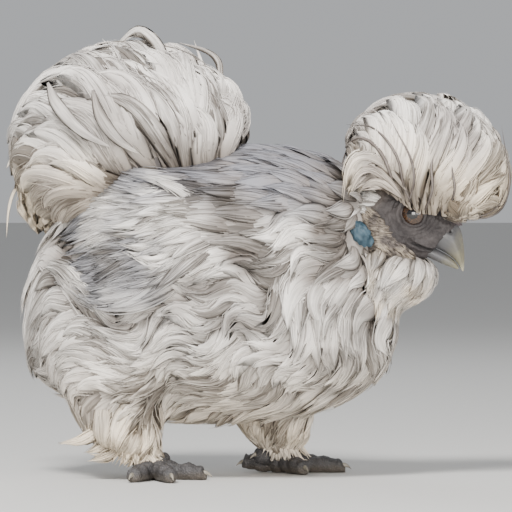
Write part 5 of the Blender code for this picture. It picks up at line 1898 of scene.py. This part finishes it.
def toe(side, name):
    """A toe: a tube of pads, flat underneath where it rests, with a row of scutes over its top.

    Its radius swells at each pad as a sine, and over the top each scute rises as a saw tooth.
    """
    _, length, tip_height, scutes = TOES[name]
    way = toe_way(side, name)
    across = np.cross(UP, way)
    x, y = FEET[side]["hub"]
    t = np.linspace(0, 1, 120)[:, None]
    angle = circle(40)[None]
    swell = 1.02 - 0.22 * t + 0.07 * np.cos(t * 3 * 2 * np.pi) * ease(0.05, 0.2, t)
    radius = TOE_RADIUS * swell * (1 - ease(0.86, 1, t) ** 2 * 0.62)
    over = ease(0, 0.75, np.sin(angle))
    tooth = (t * scutes) % 1
    step = over * 0.5 * (ease(0, 0.16, tooth) * (1 - 0.75 * tooth)) * ease(0, 0.1, t)
    skin = (t * length + 0 * angle, np.cos(angle) * 6 + 0 * t, np.sin(angle) * 6 + 0 * t)
    bumps = 0.1 * ripple(np.stack(skin, -1), 3, 111)
    under = ease(0.1, -0.6, np.sin(angle))
    pads = under * 0.7 * np.abs(np.sin(t * np.pi * 3)) - 0.4 * under
    wide = radius + step + bumps * 0.6 + pads * 0.3
    rise = radius * 0.97 + step + bumps + pads
    if tip_height > 10:
        middle = HUB_HEIGHT + (tip_height - HUB_HEIGHT) * t
    else:
        middle = radius * 0.93 + (HUB_HEIGHT - radius * 0.93) * np.maximum(0, 1 - 2.6 * t)
        middle = middle + (3 * ease(0.3, 1, t) if name == "hind" else 0)
    centre = np.array((x, y, 0)) + way * (length * t)[..., None]
    points = centre + across * (wide * np.cos(angle))[..., None]
    points = points + UP * (middle + rise * np.sin(angle))[..., None]
    points[..., 2] = np.maximum(points[..., 2], 0)
    return outward(sleeve(points))


def foot_form(side):
    """A foot: five toes, the pad between them and the start of the shank, all overlapping."""
    x, y = FEET[side]["hub"]
    way = globe(36, 48)
    lumps = (1 + 0.03 * ripple(way * 10, 3, 112))[..., None]
    pad = np.array((x, y, 7.6)) + way * np.array((10, 10, 8.6)) * lumps
    pad[..., 2] = np.maximum(pad[..., 2], 0)
    t = np.linspace(0, 1, 40)[:, None, None]
    low, high = np.array((x, y, HUB_HEIGHT)), np.array(FEET[side]["shin"])
    line = unit(high - low)
    first = unit(np.cross(line, LEFT))
    second = np.cross(line, first)
    angle = circle(32)[None]
    tooth = (t[:, :, 0] * 6) % 1
    radius = 8 - 1.8 * t[:, :, 0] + 0.4 * ease(0, 0.2, tooth) * (1 - tooth)
    ring = first * np.cos(angle)[..., None] + second * np.sin(angle)[..., None]
    shin = low + (high - low) * t + ring * radius[..., None]
    shapes = [outward(sleeve(pad)), outward(sleeve(shin))]
    return joined(shapes + [toe(side, name) for name in TOES])


def claw(side, name):
    """A claw: a cone that curves down, its section an oval."""
    _, length, tip_height, _ = TOES[name]
    way = toe_way(side, name)
    across = np.cross(UP, way)
    x, y = FEET[side]["hub"]
    lift = 2.4 if name == "hind" else 0
    t = np.linspace(0, 1, 22)[:, None]
    angle = circle(20)[None]
    radius = CLAW_RADIUS * (1 - 0.9 * t**1.2)
    centre = np.array((x, y, tip_height + lift)) + way * (length - 2.5 + (CLAW_LENGTH + 2) * t)[..., None]
    centre = centre + UP * (0.9 * np.sin(np.pi * t) - 2.4 * t**2)[..., None]
    points = centre + across * (radius * 0.8 * np.cos(angle))[..., None]
    points = points + UP * (radius * np.sin(angle))[..., None]
    points[..., 2] = np.maximum(points[..., 2], 0.15)
    return outward(sleeve(points))


HOCK_SPIKES = (
    (5, ((108, 420, -50), (94, 431, -58), (80, 438, -58), (66, 440, -56))),
    (4.4, ((118, 432, -50), (106, 442, -56), (97, 447, -56), (88, 449, -54))),
    (4, ((124, 442, -52), (112, 451, -58), (102, 455, -58), (91, 457, -56))),
)


def foot_feather_guides(draw, side):
    """Guides for the feathers round a shank: they spring out level and fall as a parabola."""
    x, y = FEET[side]["hub"]
    count = 90
    turn = np.arange(count) * GOLDEN_ANGLE
    level = draw.uniform(0.25, 1.05, count)
    out = np.stack((np.cos(turn), np.sin(turn), 0 * turn), -1)
    hub, shin = np.array((x, y, HUB_HEIGHT)), np.array(FEET[side]["shin"])
    start = hub + (shin - hub) * level[:, None]
    start = start + out * 6
    length = draw.uniform(13, 19, count) * (0.75 + 0.35 * level)
    length = length * (1 + 0.45 * np.maximum(0, out[:, 0]))
    t = (np.linspace(0, 1, 12) / RUN)[None, :, None]
    paths = start[:, None] + out[:, None] * (length[:, None, None] * 0.62 * t)
    paths = paths + UP * (2.5 * t - length[:, None, None] * 0.62 * t**2)
    paths[..., 2] = np.maximum(paths[..., 2], 7.5 + 3 * draw.uniform(0, 1, (count, 1)))
    outs = np.broadcast_to((out + UP * 0.7)[:, None], paths.shape)
    patches = unwrap(start, shin, ROUND)
    lots = draw.uniform(0.45, 0.95, count)
    return paths, outs, 3 * draw.uniform(0.75, 1.25, count), lots, patches


class SILKIE_OT_foot_feathers(bpy.types.Operator):
    """Feathers that fall from each shank over the foot and its outer toe, and the hock's points."""

    bl_idname = "silkie.foot_feathers"
    bl_label = "Foot feathers"

    def execute(self, context):
        sizes, colours = settings()
        material = plumage("foot_plumage", colours, solid_tint(colours.cream, colours.white, 30, 0.4), 0.4)
        strand = sizes.strand_half_width / MM
        for side in SIDES:
            draw = np.random.default_rng(121 if side == "right" else 122)
            guides = foot_feather_guides(draw, side)
            made = [locks(draw, guides, 5, 9, 0.3, 0.05, 0.4), strands(draw, guides, 6, strand, 6)]
            if side == "right":
                spikes = placed_plumes(draw, HOCK_SPIKES, Ball((-90, -45, 35), (30,) * 4, 0))
                made += [locks(draw, spikes, 5, 9, 0.3, 0.04, 0.5), strands(draw, spikes, 9, strand, 7)]
            feathers("foot_feathers_" + side, made, material)
        return {"FINISHED"}


def foot_finish(colours):
    """Slate scales with darker gaps and clouds of painted highlight, over warmer pads."""
    paint = Paint("foot_skin")
    place = paint.place()
    _, _, z = paint.parts(place)
    scales = paint.cells(place, 520, "DISTANCE_TO_EDGE", 0.8)
    cloud = paint.noise(place, 130, 3)
    grain = paint.noise(place, 900, 2)
    low = (z + (cloud - 0.5) * 0.004).between(0.0075, 0.0015)
    # Clouds of paler slate: painted highlights on the scales
    shade = paint.mix(cloud.between(0.35, 0.7), colours.foot, dimmed(colours.foot, 2.1))
    shade = paint.mix(low * 0.85, shade, colours.sole)
    shade = paint.mix(scales.between(0.16, 0.02) * 0.55, shade, dimmed(colours.foot, 0.45))
    normal = paint.bump(scales.between(0, 0.3) + grain * 0.25, 0.55, 0.0006)
    return paint.finish(shade, 0.5 + cloud * 0.2, normal)


def claw_finish(colours):
    """Pale horn with fine streaks."""
    paint = Paint("claw_horn")
    place = paint.place()
    cloud = paint.noise(place, 300, 3)
    streak = paint.noise(place, 1200, 2)
    shade = paint.mix(cloud.between(0.3, 0.7), colours.claw, dimmed(colours.claw, 0.55))
    normal = paint.bump(streak, 0.25, 0.0002)
    return paint.finish(shade, 0.35 + streak * 0.2, normal, Coat_Weight=0.1, Coat_Roughness=0.3)


class SILKIE_OT_feet(bpy.types.Operator):
    """The feet: slate scales over each toe, warmer pads beneath, and pale claws."""

    bl_idname = "silkie.feet"
    bl_label = "Feet"

    def execute(self, context):
        _, colours = settings()
        skin, horn = foot_finish(colours), claw_finish(colours)
        for side in SIDES:
            piece("foot_scales_" + side, foot_form(side), skin, ("foot_" + side,))
            names = ["claw_" + side + "_" + name for name in TOES]
            piece("claws_" + side, joined([claw(side, name) for name in TOES]), horn, names)
        return {"FINISHED"}


def lay_floor(colours):
    """A wide pale disc under the feet."""
    turn = circle(64)
    rim = np.stack((np.cos(turn) * 30, np.sin(turn) * 30, 0 * turn), -1)
    mesh = bpy.data.meshes.new("floor")
    mesh.from_pydata(rim.tolist(), [], [list(range(64))])
    floor = in_scene("floor", mesh)
    paint = Paint("studio_floor")
    cloud = paint.noise(paint.place(), 3, 3)
    shade = paint.mix(cloud * 0.12, colours.floor, dimmed(colours.floor, 0.94))
    mesh.materials.append(paint.finish(shade, 0.8))


def fill_air():
    """Even pale light from all round."""
    world = bpy.data.worlds.new("studio_air")
    bpy.context.scene.world = world
    world.use_nodes = True
    background = world.node_tree.nodes["Background"]
    background.inputs["Color"].default_value = (0.90, 0.92, 0.95, 1)
    background.inputs["Strength"].default_value = 0.52


def hang_lights():
    """Four soft lamps, all aimed at the bird's middle."""
    for name, place, energy, size, colour in (
        ("key_light", (-0.35, -1.5, 2.2), 112, 0.7, (1, 0.985, 0.96)),
        ("fill_light", (1.7, -1.8, 0.5), 34, 1.2, (1, 0.97, 0.93)),
        ("low_light", (0.2, -1.7, 0.16), 30, 0.9, (1, 0.96, 0.90)),
        ("rim_light", (-0.8, 1.8, 1.8), 16, 1.2, (0.94, 0.97, 1)),
    ):
        light = bpy.data.lights.new(name, "AREA")
        light.energy, light.size, light.color = energy, size, colour
        lamp = in_scene(name, light)
        lamp.location = place
        aim = -np.array(place) + np.array((0, 0, 0.15))
        lamp.rotation_mode = "QUATERNION"
        lamp.rotation_quaternion = Vector(aim).to_track_quat("-Z", "Y")


def set_camera():
    """The camera stands where the photograph was taken from."""
    lens = bpy.data.cameras.new("photo_camera")
    lens.lens, lens.sensor_width = LENS, SENSOR
    lens.clip_start, lens.clip_end = 0.05, 100
    camera = in_scene("photo_camera", lens)
    level = math.cos(VIEW_RISE)
    back = Vector((math.sin(VIEW_TURN) * level, -math.cos(VIEW_TURN) * level, math.sin(VIEW_RISE)))
    camera.location = Vector(VIEW_AIM) + back * VIEW_DISTANCE
    camera.rotation_mode = "QUATERNION"
    camera.rotation_quaternion = (-back).to_track_quat("-Z", "Y")
    bpy.context.scene.camera = camera


class SILKIE_OT_studio(bpy.types.Operator):
    """A plain pale floor, soft light from above and both sides, and the photograph's camera."""

    bl_idname = "silkie.studio"
    bl_label = "Studio"

    def execute(self, context):
        _, colours = settings()
        lay_floor(colours)
        fill_air()
        hang_lights()
        set_camera()
        return {"FINISHED"}


# The add-on


OPERATORS = (
    SILKIE_OT_body_skin,
    SILKIE_OT_coat,
    SILKIE_OT_wings,
    SILKIE_OT_tail,
    SILKIE_OT_crest,
    SILKIE_OT_beard,
    SILKIE_OT_face,
    SILKIE_OT_cheeks,
    SILKIE_OT_eyes,
    SILKIE_OT_bill,
    SILKIE_OT_comb,
    SILKIE_OT_earlobes,
    SILKIE_OT_feet,
    SILKIE_OT_foot_feathers,
    SILKIE_OT_studio,
)


class SILKIE_PT_panel(bpy.types.Panel):
    """Lists the steps that dress the bird, and what can be changed."""

    bl_label = "Silkie chicken"
    bl_idname = "SILKIE_PT_panel"
    bl_space_type = "VIEW_3D"
    bl_region_type = "UI"
    bl_category = "Silkie"

    def draw(self, context):
        for group in (context.scene.silkie_sizes, context.scene.silkie_colours):
            for key in group.__annotations__:
                self.layout.prop(group, key)
        for made in OPERATORS:
            self.layout.operator(made.bl_idname)


CLASSES = (SilkieColours, SilkieSizes, *OPERATORS, SILKIE_PT_panel)


def register():
    for made in CLASSES:
        bpy.utils.register_class(made)
    bpy.types.Scene.silkie_sizes = bpy.props.PointerProperty(type=SilkieSizes)
    bpy.types.Scene.silkie_colours = bpy.props.PointerProperty(type=SilkieColours)


def unregister():
    del bpy.types.Scene.silkie_sizes
    del bpy.types.Scene.silkie_colours
    for made in reversed(CLASSES):
        bpy.utils.unregister_class(made)


def main():
    register()
    for made in OPERATORS:
        getattr(bpy.ops.silkie, made.bl_idname.partition(".")[2])()


if __name__ == "__main__":
    main()
